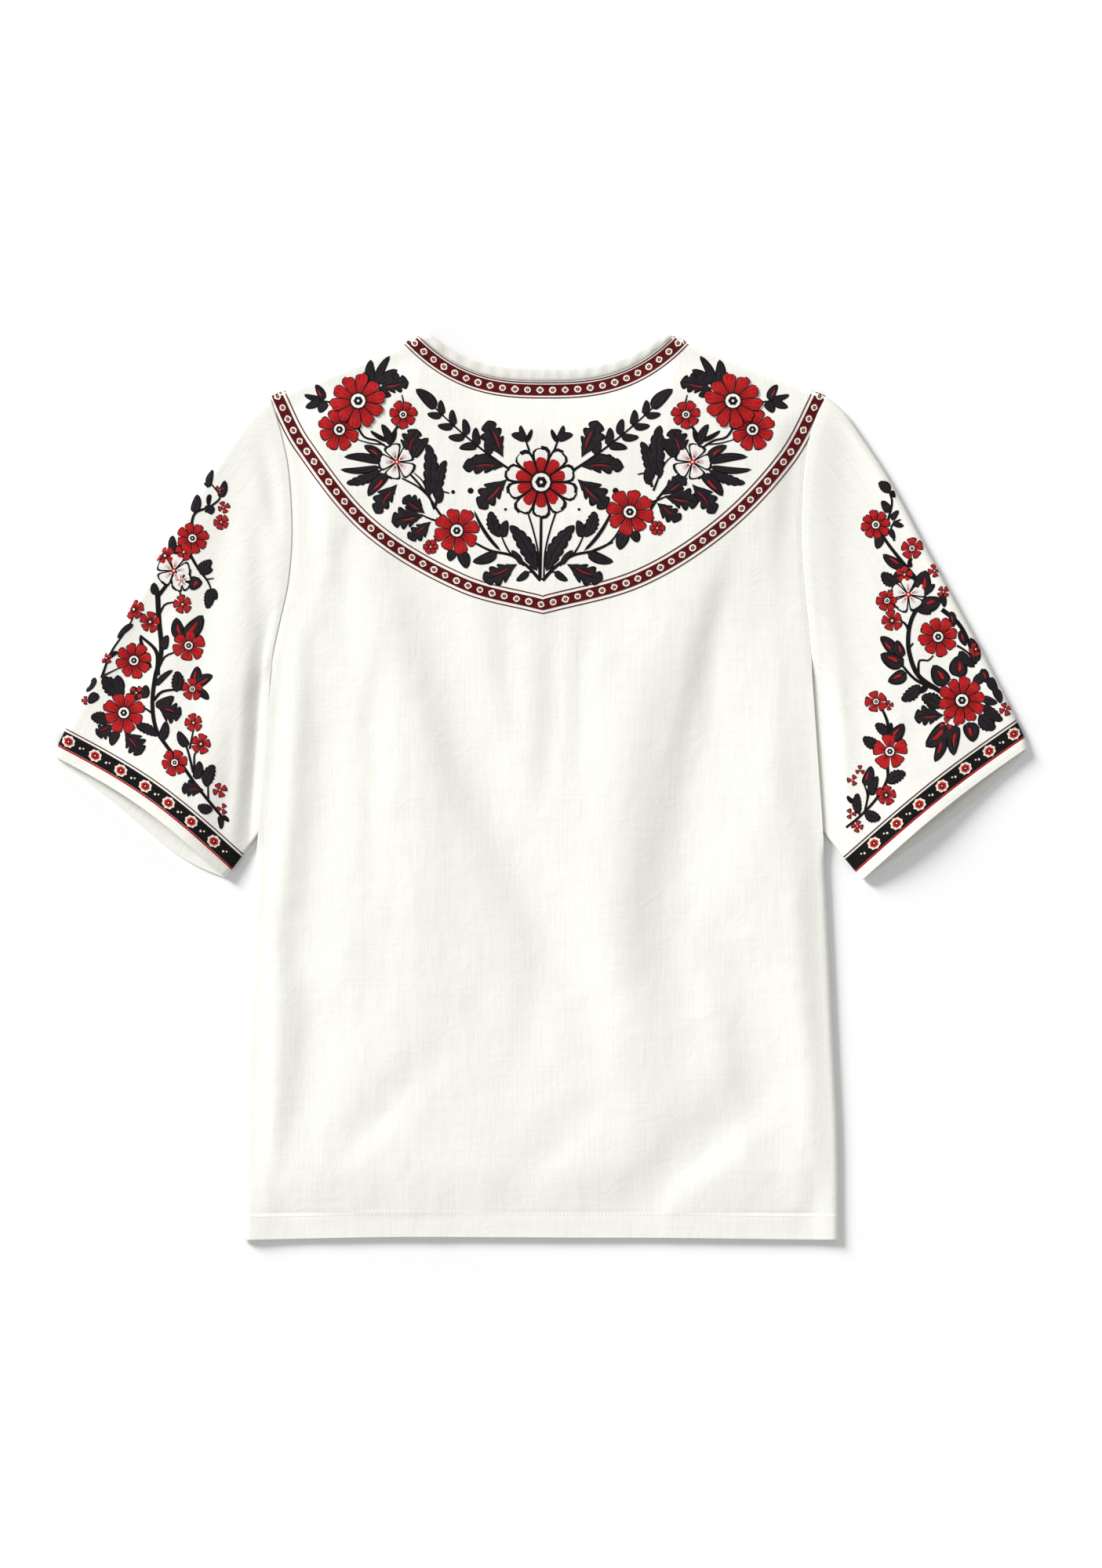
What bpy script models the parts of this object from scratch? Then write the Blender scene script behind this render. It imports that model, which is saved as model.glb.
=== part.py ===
"""V-neck linen blouse laid out flat with its back side up, for Blender 4.5.

Pieces: back, front, two short sleeves and a neck binding in two lengths. +X is to the right as
it is seen from above, +Y runs from the hem to the neck, and +Z is up from the surface it lies
on. The sizes and tables hold millimetres, and the meshes are in metres.
"""

import math
from collections import namedtuple

import bmesh
import bpy

MM = 0.001

# Cloth and seams
WALL = 1.0
SEAM_GAP = 0.3
ARMHOLE_GAP = 0.36
FOLD_RADIUS = 6.0
FOLD_TOP = 5.4
SEAM_HEIGHT = FOLD_TOP / 2
STEP = 0.8

# Body
HEM_Y = -362.7
HEM_DEPTH = 20.0
HEM_RISE = 0.4
SHOULDER_Y = 313.5
NECK_Y = 364.1
NECK_X = 4.75
NECK_HALF = 95.4
NECK_DROP = 28.0
NECK_POWER = 2.8
V_DEPTH = 155.0
V_POWER = 1.12
BINDING_RISE = 0.5
BINDING_SIDE = 7.0
BINDING_BACK = 11.3
BINDING_POINT = 14.0

# Heights of the back's outer surface
LOFT = 6.0
DEEPEST_TROUGH = 3.6
EDGE_HEIGHT = 4.3
EDGE_TROUGH_SHARE = 0.3
HEM_EASE = 90.0
NECK_EASE = 45.0
SIDE_FLAT = 17.0
SIDE_EASE = 42.0

# The underarm of each sleeve is tucked between the back and the front
TUCK_TOP = 3.8
TUCK_FLOOR = WALL + SEAM_GAP
TUCK_RISE = 38.0
SEAM_END_Y = 109.0
TUCK_START_Y = 84.0
CURL_START_Y = -42.0
CURL_FULL_Y = -64.0
CLEAR_OF_BODY = 1.5
UNDERARM_RADIUS = 3.0

# Sleeves
CUFF_HEM = 8.0
CUFF_RISE = 0.4
HEAD_BULGE = 1.6
MOUTH_BULGE = 9.5
ARCH_POWER = 0.85
SHOULDER_TILT = 41.0
SHOULDER_EASE = 60.0

EdgeRow = namedtuple("EdgeRow", "y left right")
BODY_EDGE = (
    EdgeRow(-364.0, 239.0, 239.4),
    EdgeRow(-280.0, 238.0, 238.6),
    EdgeRow(-217.0, 236.3, 235.6),
    EdgeRow(-116.0, 232.3, 230.8),
    EdgeRow(-38.0, 226.4, 226.8),
    EdgeRow(20.0, 221.6, 222.8),
    EdgeRow(84.0, 216.2, 218.4),
    EdgeRow(109.0, 213.4, 217.0),
    EdgeRow(132.0, 208.4, 214.9),
    EdgeRow(160.0, 202.2, 211.9),
    EdgeRow(191.0, 199.0, 209.6),
    EdgeRow(219.0, 198.9, 209.6),
    EdgeRow(254.0, 201.4, 211.6),
    EdgeRow(279.0, 206.3, 215.2),
    EdgeRow(298.0, 211.6, 221.2),
    EdgeRow(313.5, 216.7, 229.0),
)

# Long soft troughs of the back: where each starts, passes its middle and ends
Trough = namedtuple("Trough", "start middle end width depth")
TROUGHS = (
    Trough((-192, 182), (-172, -70), (-214, -300), 22, 3.4),
    Trough((-76, 132), (-40, -52), (36, -208), 20, 3.2),
    Trough((31, 122), (21, 20), (11, -74), 15, 1.8),
    Trough((127, 168), (108, 10), (97, -135), 25, 4.0),
    Trough((114, 10), (142, -140), (157, -345), 20, 3.2),
    Trough((144, -246), (100, -284), (58, -326), 20, 2.6),
    Trough((-54, -262), (-70, -292), (-86, -325), 18, 1.6),
)

# A row for each sleeve, with x measured outwards: its outer edge from shoulder to cuff, the two
# corners of the cuff, how far the two sides of the open mouth bow, and the tucked underarm point
SleeveRow = namedtuple("SleeveRow", "name side edge cuff_tip cuff_corner bow_in bow_out skew underarm")
SLEEVES = (
    SleeveRow(
        "sleeve_left",
        -1,
        ((232.0, 299.5), (245.5, 282.0), (268.4, 247.6), (302.4, 190.9), (344.3, 115.3), (384.0, 39.7)),
        (390.8, 24.5),
        (253.0, -73.5),
        7.6,
        7.0,
        2.2,
        (211.0, -18.0),
    ),
    SleeveRow(
        "sleeve_right",
        1,
        ((243.5, 300.0), (256.0, 283.0), (279.1, 247.6), (309.5, 190.9), (350.3, 115.3), (386.6, 43.0)),
        (390.8, 31.0),
        (258.5, -75.0),
        3.8,
        6.6,
        0.8,
        (213.0, -19.0),
    ),
)
TuckRow = namedtuple("TuckRow", "y inside")
TUCK = (TuckRow(60.0, 5.5), TuckRow(32.0, 10.5), TuckRow(4.0, 13.5))

# Creases across the upper side of a sleeve, in shares of its length and width
Crease = namedtuple("Crease", "along_from across_from along_to across_to width depth")
SLEEVE_CREASES = (
    Crease(0.10, 0.20, 0.60, 0.42, 0.08, 1.8),
    Crease(0.15, 0.62, 0.80, 0.78, 0.09, 2.0),
    Crease(0.45, 0.18, 0.95, 0.30, 0.08, 1.4),
)

# How finely the pieces are divided
FOLD_ANGLES = (0, 30, 60, 90)
SKIRT_ROWS = 9
UNDERARM_ROWS = 4
ARMHOLE_ROWS = 9
BACK_SHOULDER_COLUMNS = 6
BACK_NECK_COLUMNS = 12
FRONT_SHOULDER_COLUMNS = 4
FRONT_NECK_COLUMNS = 8
TUCK_COLUMNS = 3
SLEEVE_RINGS = 12

CLOTH_COLOUR = (0.93, 0.92, 0.88, 1.0)
BINDING_COLOUR = (0.91, 0.90, 0.86, 1.0)


def mix(a, b, share):
    """The value that lies this share of the way from a to b."""
    return a + (b - a) * share


def mix_points(p, q, share):
    """The plan point that lies this share of the way from p to q."""
    return (mix(p[0], q[0], share), mix(p[1], q[1], share))


def ease(low, high, value):
    """0 below low, 1 above high, and a smooth rise in between."""
    t = min(1.0, max(0.0, (value - low) / (high - low)))
    return t * t * (3 - 2 * t)


def smooth_step(values, slopes, span, t):
    """Cubic curve between two values with their slopes."""
    return (
        (2 * t**3 - 3 * t * t + 1) * values[0]
        + (t**3 - 2 * t * t + t) * span * slopes[0]
        + (3 * t * t - 2 * t**3) * values[1]
        + (t**3 - t * t) * span * slopes[1]
    )


def edge_x(y, side):
    """How far the body's edge is from the middle at height y; side is -1 for left and 1 for right."""
    rows, last = BODY_EDGE, len(BODY_EDGE) - 1
    y = min(max(y, rows[0].y), rows[last].y)
    i = max(k for k in range(last) if rows[k].y <= y)
    near = [rows[min(max(k, 0), last)] for k in (i - 1, i, i + 1, i + 2)]
    wide = [row.left if side < 0 else row.right for row in near]
    slopes = [(wide[k + 2] - wide[k]) / (near[k + 2].y - near[k].y) for k in (0, 1)]
    span = near[2].y - near[1].y
    return smooth_step(wide[1:3], slopes, span, (y - near[1].y) / span)


def through(points, share):
    """A smooth curve through plan points, by share of its chord length."""
    lengths = [math.dist(p, q) for p, q in zip(points, points[1:])]
    target = share * sum(lengths)
    i = 0
    while i < len(lengths) - 1 and target > lengths[i]:
        target -= lengths[i]
        i += 1
    before, after = points[max(i - 1, 0)], points[min(i + 2, len(points) - 1)]
    reach = (lengths[i] + (lengths[i - 1] if i else 0), lengths[i] + sum(lengths[i + 1 : i + 2]))
    t = min(1.0, target / lengths[i])
    place = []
    for a in (0, 1):
        slopes = ((points[i + 1][a] - before[a]) / reach[0], (after[a] - points[i][a]) / reach[1])
        place.append(smooth_step((points[i][a], points[i + 1][a]), slopes, lengths[i], t))
    return tuple(place)


def fold_offset(angle):
    """How far in from a folded edge the cloth is, at an angle round the fold."""
    return FOLD_RADIUS * (1 - math.cos(math.radians(angle)))


def shoulder_point(side):
    """Outer end of a shoulder seam."""
    return (side * edge_x(SHOULDER_Y, side), SHOULDER_Y)


def neck_point(side):
    """Inner end of a shoulder seam, at the neck's edge."""
    return (NECK_X + side * NECK_HALF, NECK_Y)


def binding_point(side):
    """Where the binding's lower edge meets the shoulder seam."""
    neck, outer = neck_point(side), shoulder_point(side)
    return mix_points(neck, outer, BINDING_SIDE / math.dist(neck, outer))


def shoulder_inward(side):
    """Unit vector square to a shoulder seam, pointing into the body."""
    neck, outer = neck_point(side), shoulder_point(side)
    length = math.dist(neck, outer)
    return (side * (outer[1] - neck[1]) / length, side * (neck[0] - outer[0]) / length)


def shoulder_distance(x, y):
    """How far a point of the body is below the nearer shoulder seam, and that seam's side."""
    side = -1 if x < NECK_X else 1
    outer, inward = shoulder_point(side), shoulder_inward(side)
    return (x - outer[0]) * inward[0] + (y - outer[1]) * inward[1], side


def neck_edge(share):
    """The back neck's edge; share runs from -1 at the left to 1 at the right."""
    return (NECK_X + share * NECK_HALF, NECK_Y - NECK_DROP * (1 - abs(share) ** NECK_POWER))


def back_seam(share):
    """The seam between the back and its binding."""
    x, y = binding_point(1)
    depth = NECK_DROP + BINDING_BACK - (NECK_Y - y)
    return (NECK_X + share * (x - NECK_X), y - depth * (1 - abs(share) ** NECK_POWER))


def v_edge(share):
    """The front neck's edge, a V with slightly bowed sides."""
    return (NECK_X + share * NECK_HALF, NECK_Y - V_DEPTH * (1 - abs(share) ** V_POWER))


def front_seam(share):
    """The seam between the front and its binding."""
    x, y = binding_point(1)
    depth = V_DEPTH + BINDING_POINT - (NECK_Y - y)
    return (NECK_X + share * (x - NECK_X), y - depth * (1 - abs(share) ** V_POWER))


def top_edge(x, neck_seam):
    """The y of a body piece's upper edge at x: shoulder, neck seam, shoulder."""
    left, right = binding_point(-1), binding_point(1)
    if left[0] < x < right[0]:
        return neck_seam((x - NECK_X) / (right[0] - NECK_X))[1]
    side = -1 if x < NECK_X else 1
    inner, outer = binding_point(side), shoulder_point(side)
    return mix(inner[1], outer[1], (x - inner[0]) / (outer[0] - inner[0]))


def hem_wave(x):
    """How far the hem waves from a straight line."""
    return 1.1 * math.sin((x + 118) / 62) - 0.6 * math.cos(x / 41)


def trough_distance(x, y, trough):
    """Distance from a point to a trough's curved line."""
    a, b, c = trough.start, trough.middle, trough.end
    bend = (2 * b[0] - (a[0] + c[0]) / 2, 2 * b[1] - (a[1] + c[1]) / 2)
    steps = 12
    shares = [k / steps for k in range(steps + 1)]
    curve = [mix_points(mix_points(a, bend, s), mix_points(bend, c, s), s) for s in shares]
    return min(math.dist((x, y), p) for p in curve)


def back_height(x, y):
    """Height of the back's outer surface, apart from where it turns down at the seams."""
    side = -1 if x < 0 else 1
    from_seam = min(edge_x(y, side) - abs(x), shoulder_distance(x, y)[0])
    trough = sum(t.depth * math.exp(-((trough_distance(x, y, t) / t.width) ** 2)) for t in TROUGHS)
    trough = DEEPEST_TROUGH * (1 - math.exp(-trough / DEEPEST_TROUGH))
    loose = ease(0, HEM_EASE, y - HEM_Y) * ease(0, NECK_EASE, top_edge(x, back_seam) - y)
    inside = mix(EDGE_HEIGHT, LOFT, loose) - trough * mix(EDGE_TROUGH_SHARE, 1, loose)
    return mix(FOLD_TOP, inside, ease(SIDE_FLAT, SIDE_EASE, from_seam))


def turn(distance, weight):
    """How far up its fold the cloth is at a distance from a seam, and how far its inner side moves in."""
    t = min(1.0, max(0.0, distance / FOLD_RADIUS))
    return mix(1.0, math.sqrt(1 - (1 - t) ** 2), weight), WALL * (1 - t) * weight


def seam_turn(x, y):
    """Rise factor and inward shift of the body's cloth where its side and shoulder seams turn it."""
    side = -1 if x < 0 else 1
    side_weight = 1 - ease(CURL_FULL_Y, CURL_START_Y, y)
    side_rise, side_shift = turn(edge_x(y, side) - abs(x), side_weight)
    below, shoulder_side = shoulder_distance(x, y)
    inward = shoulder_inward(shoulder_side)
    shoulder_rise, shoulder_shift = turn(below, 1.0)
    shift = (inward[0] * shoulder_shift - side * side_shift, inward[1] * shoulder_shift)
    return side_rise * shoulder_rise, shift


def back_wall(x, y, rise=0.0):
    """Outer and inner point of the back's wall at a plan point, with its outside raised by rise."""
    up, shift = seam_turn(x, y)
    low, top = SEAM_HEIGHT + SEAM_GAP / 2, back_height(x, y)
    return (x, y, mix(low, top + rise, up)), (x + shift[0], y + shift[1], mix(low, top - WALL, up))


def front_wall(x, y, rise=0.0):
    """Outer and inner point of the front's wall. Its outer side is the underside, so rise is inside."""
    up, shift = seam_turn(x, y)
    low = SEAM_HEIGHT - SEAM_GAP / 2
    return (x, y, mix(low, 0.0, up)), (x + shift[0], y + shift[1], mix(low, WALL + rise, up))


def add_wall(outer, inner, tube=False):
    """A closed wall between two matching grids of points, each a list of rows.

    tube joins the last column to the first.
    """
    mesh = bmesh.new()
    skins = [[[mesh.verts.new([c * MM for c in p]) for p in row] for row in grid] for grid in (outer, inner)]
    rows, columns = len(outer), len(outer[0])
    strips = [(i, (i + 1) % columns) for i in range(columns if tube else columns - 1)]
    for j in range(rows - 1):
        for i, n in strips:
            for skin in skins:
                mesh.faces.new((skin[j][i], skin[j][n], skin[j + 1][n], skin[j + 1][i]))
    out, into = skins
    for j in (0, rows - 1):
        for i, n in strips:
            mesh.faces.new((out[j][i], out[j][n], into[j][n], into[j][i]))
    for i in () if tube else (0, columns - 1):
        for j in range(rows - 1):
            mesh.faces.new((out[j][i], out[j + 1][i], into[j + 1][i], into[j][i]))
    bmesh.ops.recalc_face_normals(mesh, faces=mesh.faces)
    return mesh


def cloth_material(name, colour):
    """Matt cloth of one colour."""
    material = bpy.data.materials.new(name)
    material.use_nodes = True
    shader = material.node_tree.nodes["Principled BSDF"]
    shader.inputs["Base Color"].default_value = colour
    shader.inputs["Roughness"].default_value = 0.85
    shader.inputs["Metallic"].default_value = 0.0
    return material


def add_piece(name, mesh, material, parent):
    """Makes a named object of a mesh, shaded smooth apart from its cut edges."""
    data = bpy.data.meshes.new(name)
    mesh.to_mesh(data)
    mesh.free()
    data.materials.append(material)
    data.shade_smooth()
    data.set_sharp_from_angle(angle=math.radians(50))
    piece = bpy.data.objects.new(name, data)
    piece.parent = parent
    bpy.context.scene.collection.objects.link(piece)


def shoulder_drops(angles):
    """How far below a shoulder seam, down the cloth, each angle of its fold is."""
    return [fold_offset(a) / -shoulder_inward(-1)[1] for a in angles]


def armhole_rows():
    """Heights at which the body's rows and the sleeve's columns meet, from the bottom up."""
    upper = SHOULDER_Y - shoulder_drops(FOLD_ANGLES)[-1]
    return [mix(TUCK_START_Y, upper, k / ARMHOLE_ROWS) for k in range(ARMHOLE_ROWS + 1)]


def body_rows():
    """Heights of the body's rows at its outer edge, from the hem to where the shoulder turns."""
    hem_top = HEM_Y + HEM_DEPTH
    rows = [HEM_Y, hem_top - STEP / 2, hem_top + STEP / 2]
    rows += [mix(hem_top, CURL_FULL_Y, (k + 1) / SKIRT_ROWS) for k in range(SKIRT_ROWS)]
    rows += [mix(CURL_START_Y, TUCK_START_Y, k / UNDERARM_ROWS) for k in range(UNDERARM_ROWS)]
    return rows + armhole_rows()


def neck_shares(columns):
    """Shares of the neck's half width at which columns stand, closer together at its corners."""
    return [math.sin(math.pi * (k / columns - 0.5)) for k in range(columns + 1)]


def column_places(shoulder_columns, neck_columns):
    """The x of each column at the top of a body piece, inside the folds of its outer edges."""
    left, right = binding_point(-1)[0], binding_point(1)[0]
    first = FOLD_RADIUS - edge_x(SHOULDER_Y, -1)
    last = edge_x(SHOULDER_Y, 1) - FOLD_RADIUS
    places = [mix(first, left, k / shoulder_columns) for k in range(shoulder_columns)]
    places += [NECK_X + s * (right - NECK_X) for s in neck_shares(neck_columns)]
    return places + [mix(right, last, (k + 1) / shoulder_columns) for k in range(shoulder_columns)]


def body_grid(shoulder_columns, neck_columns, neck_seam):
    """Plan points of a body piece, as rows from the hem to the shoulders and neck.

    Columns keep their share of the width from top to hem. Those in the folds of the side seams
    keep their distance from the edge instead.
    """
    places = column_places(shoulder_columns, neck_columns)
    folds = [fold_offset(a) for a in FOLD_ANGLES[:-1]]
    columns = [(-1, f, None) for f in folds] + [(0, 0.0, p) for p in places]
    columns += [(1, f, None) for f in reversed(folds)]
    rows = body_rows()
    drops = shoulder_drops(reversed(FOLD_ANGLES[:-1]))
    grid = []
    for at_edge in rows + [SHOULDER_Y - d for d in drops]:
        share = min(1.0, (at_edge - rows[0]) / (rows[-1] - rows[0]))
        line = []
        for side, fold, place in columns:
            top_x = side * (edge_x(SHOULDER_Y, side) - fold) if side else place
            top = top_edge(top_x, neck_seam)
            y = at_edge + (top - SHOULDER_Y) * share + hem_wave(top_x) * (1 - share) ** 4
            if side:
                x = side * (edge_x(y, side) - fold)
            else:
                across = (place - places[0]) / (places[-1] - places[0])
                x = mix(FOLD_RADIUS - edge_x(at_edge, -1), edge_x(at_edge, 1) - FOLD_RADIUS, across)
            line.append((x, y))
        grid.append(line)
    return grid


def build_panel(name, grid, wall, material, parent):
    """The back or the front, one piece from hem to shoulders, with its turned hem a little thicker."""
    walls = [[wall(x, y, HEM_RISE if j < 2 else 0.0) for x, y in line] for j, line in enumerate(grid)]
    outer = [[w[0] for w in line] for line in walls]
    inner = [[w[1] for w in line] for line in walls]
    add_piece(name, add_wall(outer, inner), material, parent)


def build_binding(name, edge, seam, wall, columns, material, parent):
    """A strip of doubled cloth between a neck seam and the neck's edge, over the seam's own columns."""
    outer, inner = [], []
    for across in (0.0, 0.5, 1.0):
        line = []
        for share in neck_shares(columns):
            low, high = seam(share), edge(share)
            start = SEAM_GAP / math.dist(low, high)
            line.append(wall(*mix_points(low, high, mix(start, 1.0, across)), BINDING_RISE))
        outer.append([w[0] for w in line])
        inner.append([w[1] for w in line])
    add_piece(name, add_wall(outer, inner), material, parent)


def underarm_exit(row):
    """Where the fold of a sleeve's underarm comes out from under the back."""
    steps = 200
    line = [mix_points(row.underarm, row.cuff_corner, k / steps) for k in range(steps + 1)]
    return next(p for p in line if p[0] >= edge_x(p[1], row.side) + CLEAR_OF_BODY)


def sleeve_head(row):
    """The sewn end of a sleeve, from the shoulder to the tucked underarm.

    Returns its plan points, the matching ones just clear of the body's edge, and their heights.
    """
    heights = [SHOULDER_Y - d for d in shoulder_drops(FOLD_ANGLES[:-1])] + armhole_rows()[::-1]
    sewn = [(edge_x(y, row.side) + ARMHOLE_GAP, y) for y in heights]
    tuck = [sewn[-1]] + [(edge_x(t.y, row.side) - t.inside, t.y) for t in TUCK] + [row.underarm]
    length = sum(math.dist(p, q) for p, q in zip(tuck, tuck[1:]))
    offsets = [UNDERARM_RADIUS * (1 - math.cos(math.radians(a))) for a in reversed(FOLD_ANGLES)]
    before = range(1, TUCK_COLUMNS)
    shares = [(1 - offsets[0] / length) * k / TUCK_COLUMNS for k in before]
    sewn += [through(tuck, s) for s in shares + [1 - d / length for d in offsets]]
    exit_y = underarm_exit(row)[1]
    heights += [mix(TUCK_START_Y, exit_y + offsets[0], k / TUCK_COLUMNS) for k in before]
    heights += [exit_y + d for d in offsets]
    clear = []
    for y in heights:
        tilt = math.radians(SHOULDER_TILT * (1 - ease(0, SHOULDER_EASE, SHOULDER_Y - y)))
        out = ARMHOLE_GAP * (y > TUCK_START_Y) + CLEAR_OF_BODY
        clear.append((edge_x(y, row.side) + out * math.cos(tilt), y - out * math.sin(tilt)))
    return sewn, clear, heights


def cuff_line(row, count, bow, skew):
    """Plan points of one side of the open cuff, from its outer tip to its underarm corner."""
    width = math.dist(row.cuff_tip, row.cuff_corner)
    outer = [fold_offset(a) / width for a in FOLD_ANGLES]
    inner = [1 - UNDERARM_RADIUS * (1 - math.cos(math.radians(a))) / width for a in reversed(FOLD_ANGLES)]
    middle = count - len(outer) - len(inner)
    between = [mix(outer[-1], inner[0], (k + 1) / (middle + 1)) for k in range(middle)]
    shares = outer + between + inner
    across = [(row.cuff_corner[a] - row.cuff_tip[a]) / width for a in (0, 1)]
    points = []
    for s in shares:
        x, y = mix_points(row.cuff_tip, row.cuff_corner, s)
        out = bow * math.sin(math.pi * s**skew)
        points.append((x - across[1] * out, y + across[0] * out))
    return points, shares


Place = namedtuple("Place", "x y along across clear tucked")


def sleeve_layer(row, bow, skew):
    """Places of one layer of a sleeve, as rows from its sewn end to its cuff.

    Each row runs from the outer edge to the underarm. clear is the distance from the body's edge.
    """
    sewn, clear, heights = sleeve_head(row)
    cuff, at_cuff = cuff_line(row, len(clear), bow, skew)
    lengths = [math.dist(p, q) for p, q in zip(clear, clear[1:])]
    at_head = [sum(lengths[:k]) / sum(lengths) for k in range(len(clear))]
    tucked = [1 - ease(TUCK_START_Y, SEAM_END_Y, y) for y in heights]
    edge = (clear[0],) + row.edge + (row.cuff_tip,)
    grid = [[Place(*p, 0.0, u, 0.0, t) for p, u, t in zip(sewn, at_head, tucked)]]
    for k in range(SLEEVE_RINGS + 2):
        line = []
        for p, q, u_head, u_cuff, t in zip(clear, cuff, at_head, at_cuff, tucked):
            length = math.dist(p, q)
            stops = {SLEEVE_RINGS: 1 - (CUFF_HEM - STEP / 2) / length, SLEEVE_RINGS + 1: 1.0}
            along = stops.get(k, k / (SLEEVE_RINGS - 1) * (1 - (CUFF_HEM + STEP / 2) / length))
            across = mix(u_head, u_cuff, along)
            x, y = mix_points(p, q, along)
            on_edge, chord = through(edge, along), mix_points(edge[0], edge[-1], along)
            x += (1 - across) * (on_edge[0] - chord[0])
            y += (1 - across) * (on_edge[1] - chord[1])
            line.append(Place(x, y, along, across, along * length, t))
        grid.append(line)
    return grid


def crease_depth(place):
    """How deep the creases of a sleeve's upper side are at a place."""
    total = 0.0
    for c in SLEEVE_CREASES:
        run = (c.along_to - c.along_from, c.across_to - c.across_from)
        away = (place.along - c.along_from, place.across - c.across_from)
        t = (away[0] * run[0] + away[1] * run[1]) / (run[0] ** 2 + run[1] ** 2)
        t = min(1.0, max(0.0, t))
        distance = math.dist(away, (t * run[0], t * run[1]))
        total += c.depth * math.exp(-((distance / c.width) ** 2))
    return total


def sleeve_levels(place):
    """Heights of a sleeve's underside, of the middle of its folds and of its upper side at a place."""
    held = place.tucked * (1 - ease(0, TUCK_RISE, place.clear))
    bottom, top = mix(0.0, TUCK_FLOOR, held), mix(FOLD_TOP, TUCK_TOP, held)
    free = ease(0, TUCK_RISE, place.clear)
    arch = max(0.0, math.sin(math.pi * place.across)) ** ARCH_POWER
    bulge = mix(HEAD_BULGE, MOUTH_BULGE, place.along) * arch - crease_depth(place) * arch
    return bottom, (bottom + top) / 2, top + max(bulge * free, -HEAD_BULGE)


def sleeve_ring(row, upper, lower, rise):
    """Outer and inner points of one ring of a sleeve, over its upper layer and back under it."""
    count = len(upper)
    rings = ([], [])
    for layer, order in ((upper, range(count)), (lower, range(count - 2, 0, -1))):
        for c in order:
            near_outer = c < count / 2
            angle = math.radians(FOLD_ANGLES[min(c, count - 1 - c, len(FOLD_ANGLES) - 1)])
            start, fold_end = (0, len(FOLD_ANGLES) - 1) if near_outer else (count - 1, count - len(FOLD_ANGLES))
            away = (layer[fold_end].x - layer[start].x, layer[fold_end].y - layer[start].y)
            shift = WALL * math.cos(angle) / math.hypot(*away)
            place = layer[c]
            bottom, middle, top = sleeve_levels(place)
            if layer is upper:
                heights = (top + rise, top - WALL)
            else:
                heights = (bottom, bottom + WALL + rise)
            x, y = place.x + away[0] * shift, place.y + away[1] * shift
            rings[0].append((row.side * place.x, place.y, mix(middle, heights[0], math.sin(angle))))
            rings[1].append((row.side * x, y, mix(middle, heights[1], math.sin(angle))))
    return rings


def build_sleeve(row, material, parent):
    """A sleeve: one wall, folded at its outer edge and its underarm, and open at both ends."""
    upper = sleeve_layer(row, -row.bow_in, 1.0)
    lower = sleeve_layer(row, row.bow_out, row.skew)
    outer, inner = [], []
    for k, (up, low) in enumerate(zip(upper, lower)):
        ring = sleeve_ring(row, up, low, CUFF_RISE if k > SLEEVE_RINGS else 0.0)
        outer.append(ring[0])
        inner.append(ring[1])
    add_piece(row.name, add_wall(outer, inner, tube=True), material, parent)


def main():
    """Builds every piece under one empty at the origin."""
    for old in list(bpy.data.objects):
        bpy.data.objects.remove(old)
    blouse = bpy.data.objects.new("blouse", None)
    bpy.context.scene.collection.objects.link(blouse)
    cloth = cloth_material("linen", CLOTH_COLOUR)
    binding = cloth_material("binding", BINDING_COLOUR)
    back = body_grid(BACK_SHOULDER_COLUMNS, BACK_NECK_COLUMNS, back_seam)
    front = body_grid(FRONT_SHOULDER_COLUMNS, FRONT_NECK_COLUMNS, front_seam)
    build_panel("back", back, back_wall, cloth, blouse)
    build_panel("front", front, front_wall, cloth, blouse)
    build_binding("neck_binding_back", neck_edge, back_seam, back_wall, BACK_NECK_COLUMNS, binding, blouse)
    build_binding("neck_binding_front", v_edge, front_seam, front_wall, FRONT_NECK_COLUMNS, binding, blouse)
    for row in SLEEVES:
        build_sleeve(row, cloth, blouse)


main()
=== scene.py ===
"""V-neck linen blouse laid out flat with its back side up: cloth, embroidery, stitching and light.

Plan sizes are millimetres in the row's frame: X to the right, Y from the hem to the neck, Z up
from the surface that the blouse lies on. The meshes are in metres.
"""

import logging
import math
from dataclasses import dataclass, field
from enum import Enum
from typing import Any, Callable, Iterable, NamedTuple, Sequence

import bmesh
import bpy
import numpy as np
from mathutils import Matrix, Vector, noise
from mathutils.bvhtree import BVHTree


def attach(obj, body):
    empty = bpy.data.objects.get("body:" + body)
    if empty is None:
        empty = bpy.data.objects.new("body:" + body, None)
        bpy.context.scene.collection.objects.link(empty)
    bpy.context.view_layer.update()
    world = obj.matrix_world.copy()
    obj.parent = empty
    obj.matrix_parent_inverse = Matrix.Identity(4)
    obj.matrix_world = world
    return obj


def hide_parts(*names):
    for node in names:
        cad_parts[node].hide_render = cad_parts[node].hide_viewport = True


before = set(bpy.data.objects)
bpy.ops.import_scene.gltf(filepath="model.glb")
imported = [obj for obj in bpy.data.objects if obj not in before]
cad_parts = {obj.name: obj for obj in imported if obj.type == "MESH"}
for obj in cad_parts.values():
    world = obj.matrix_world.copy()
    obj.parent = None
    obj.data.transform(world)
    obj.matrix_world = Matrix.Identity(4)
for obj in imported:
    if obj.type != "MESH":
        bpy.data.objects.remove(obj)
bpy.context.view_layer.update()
LOG = logging.getLogger("blouse")

MM = 0.001
Point = tuple[float, float]
Triple = tuple[float, float, float]
Array = np.ndarray
Curve = Callable[[Any], tuple[Any, Any]]
PlanMap = Callable[[float, float], Point]


class Crease(NamedTuple):
    """One soft fold of the cloth: a trough, or a ridge where its depth is below zero."""

    start: Point
    middle: Point
    end: Point
    width: float
    depth: float
    lean: float = 0.0


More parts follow.
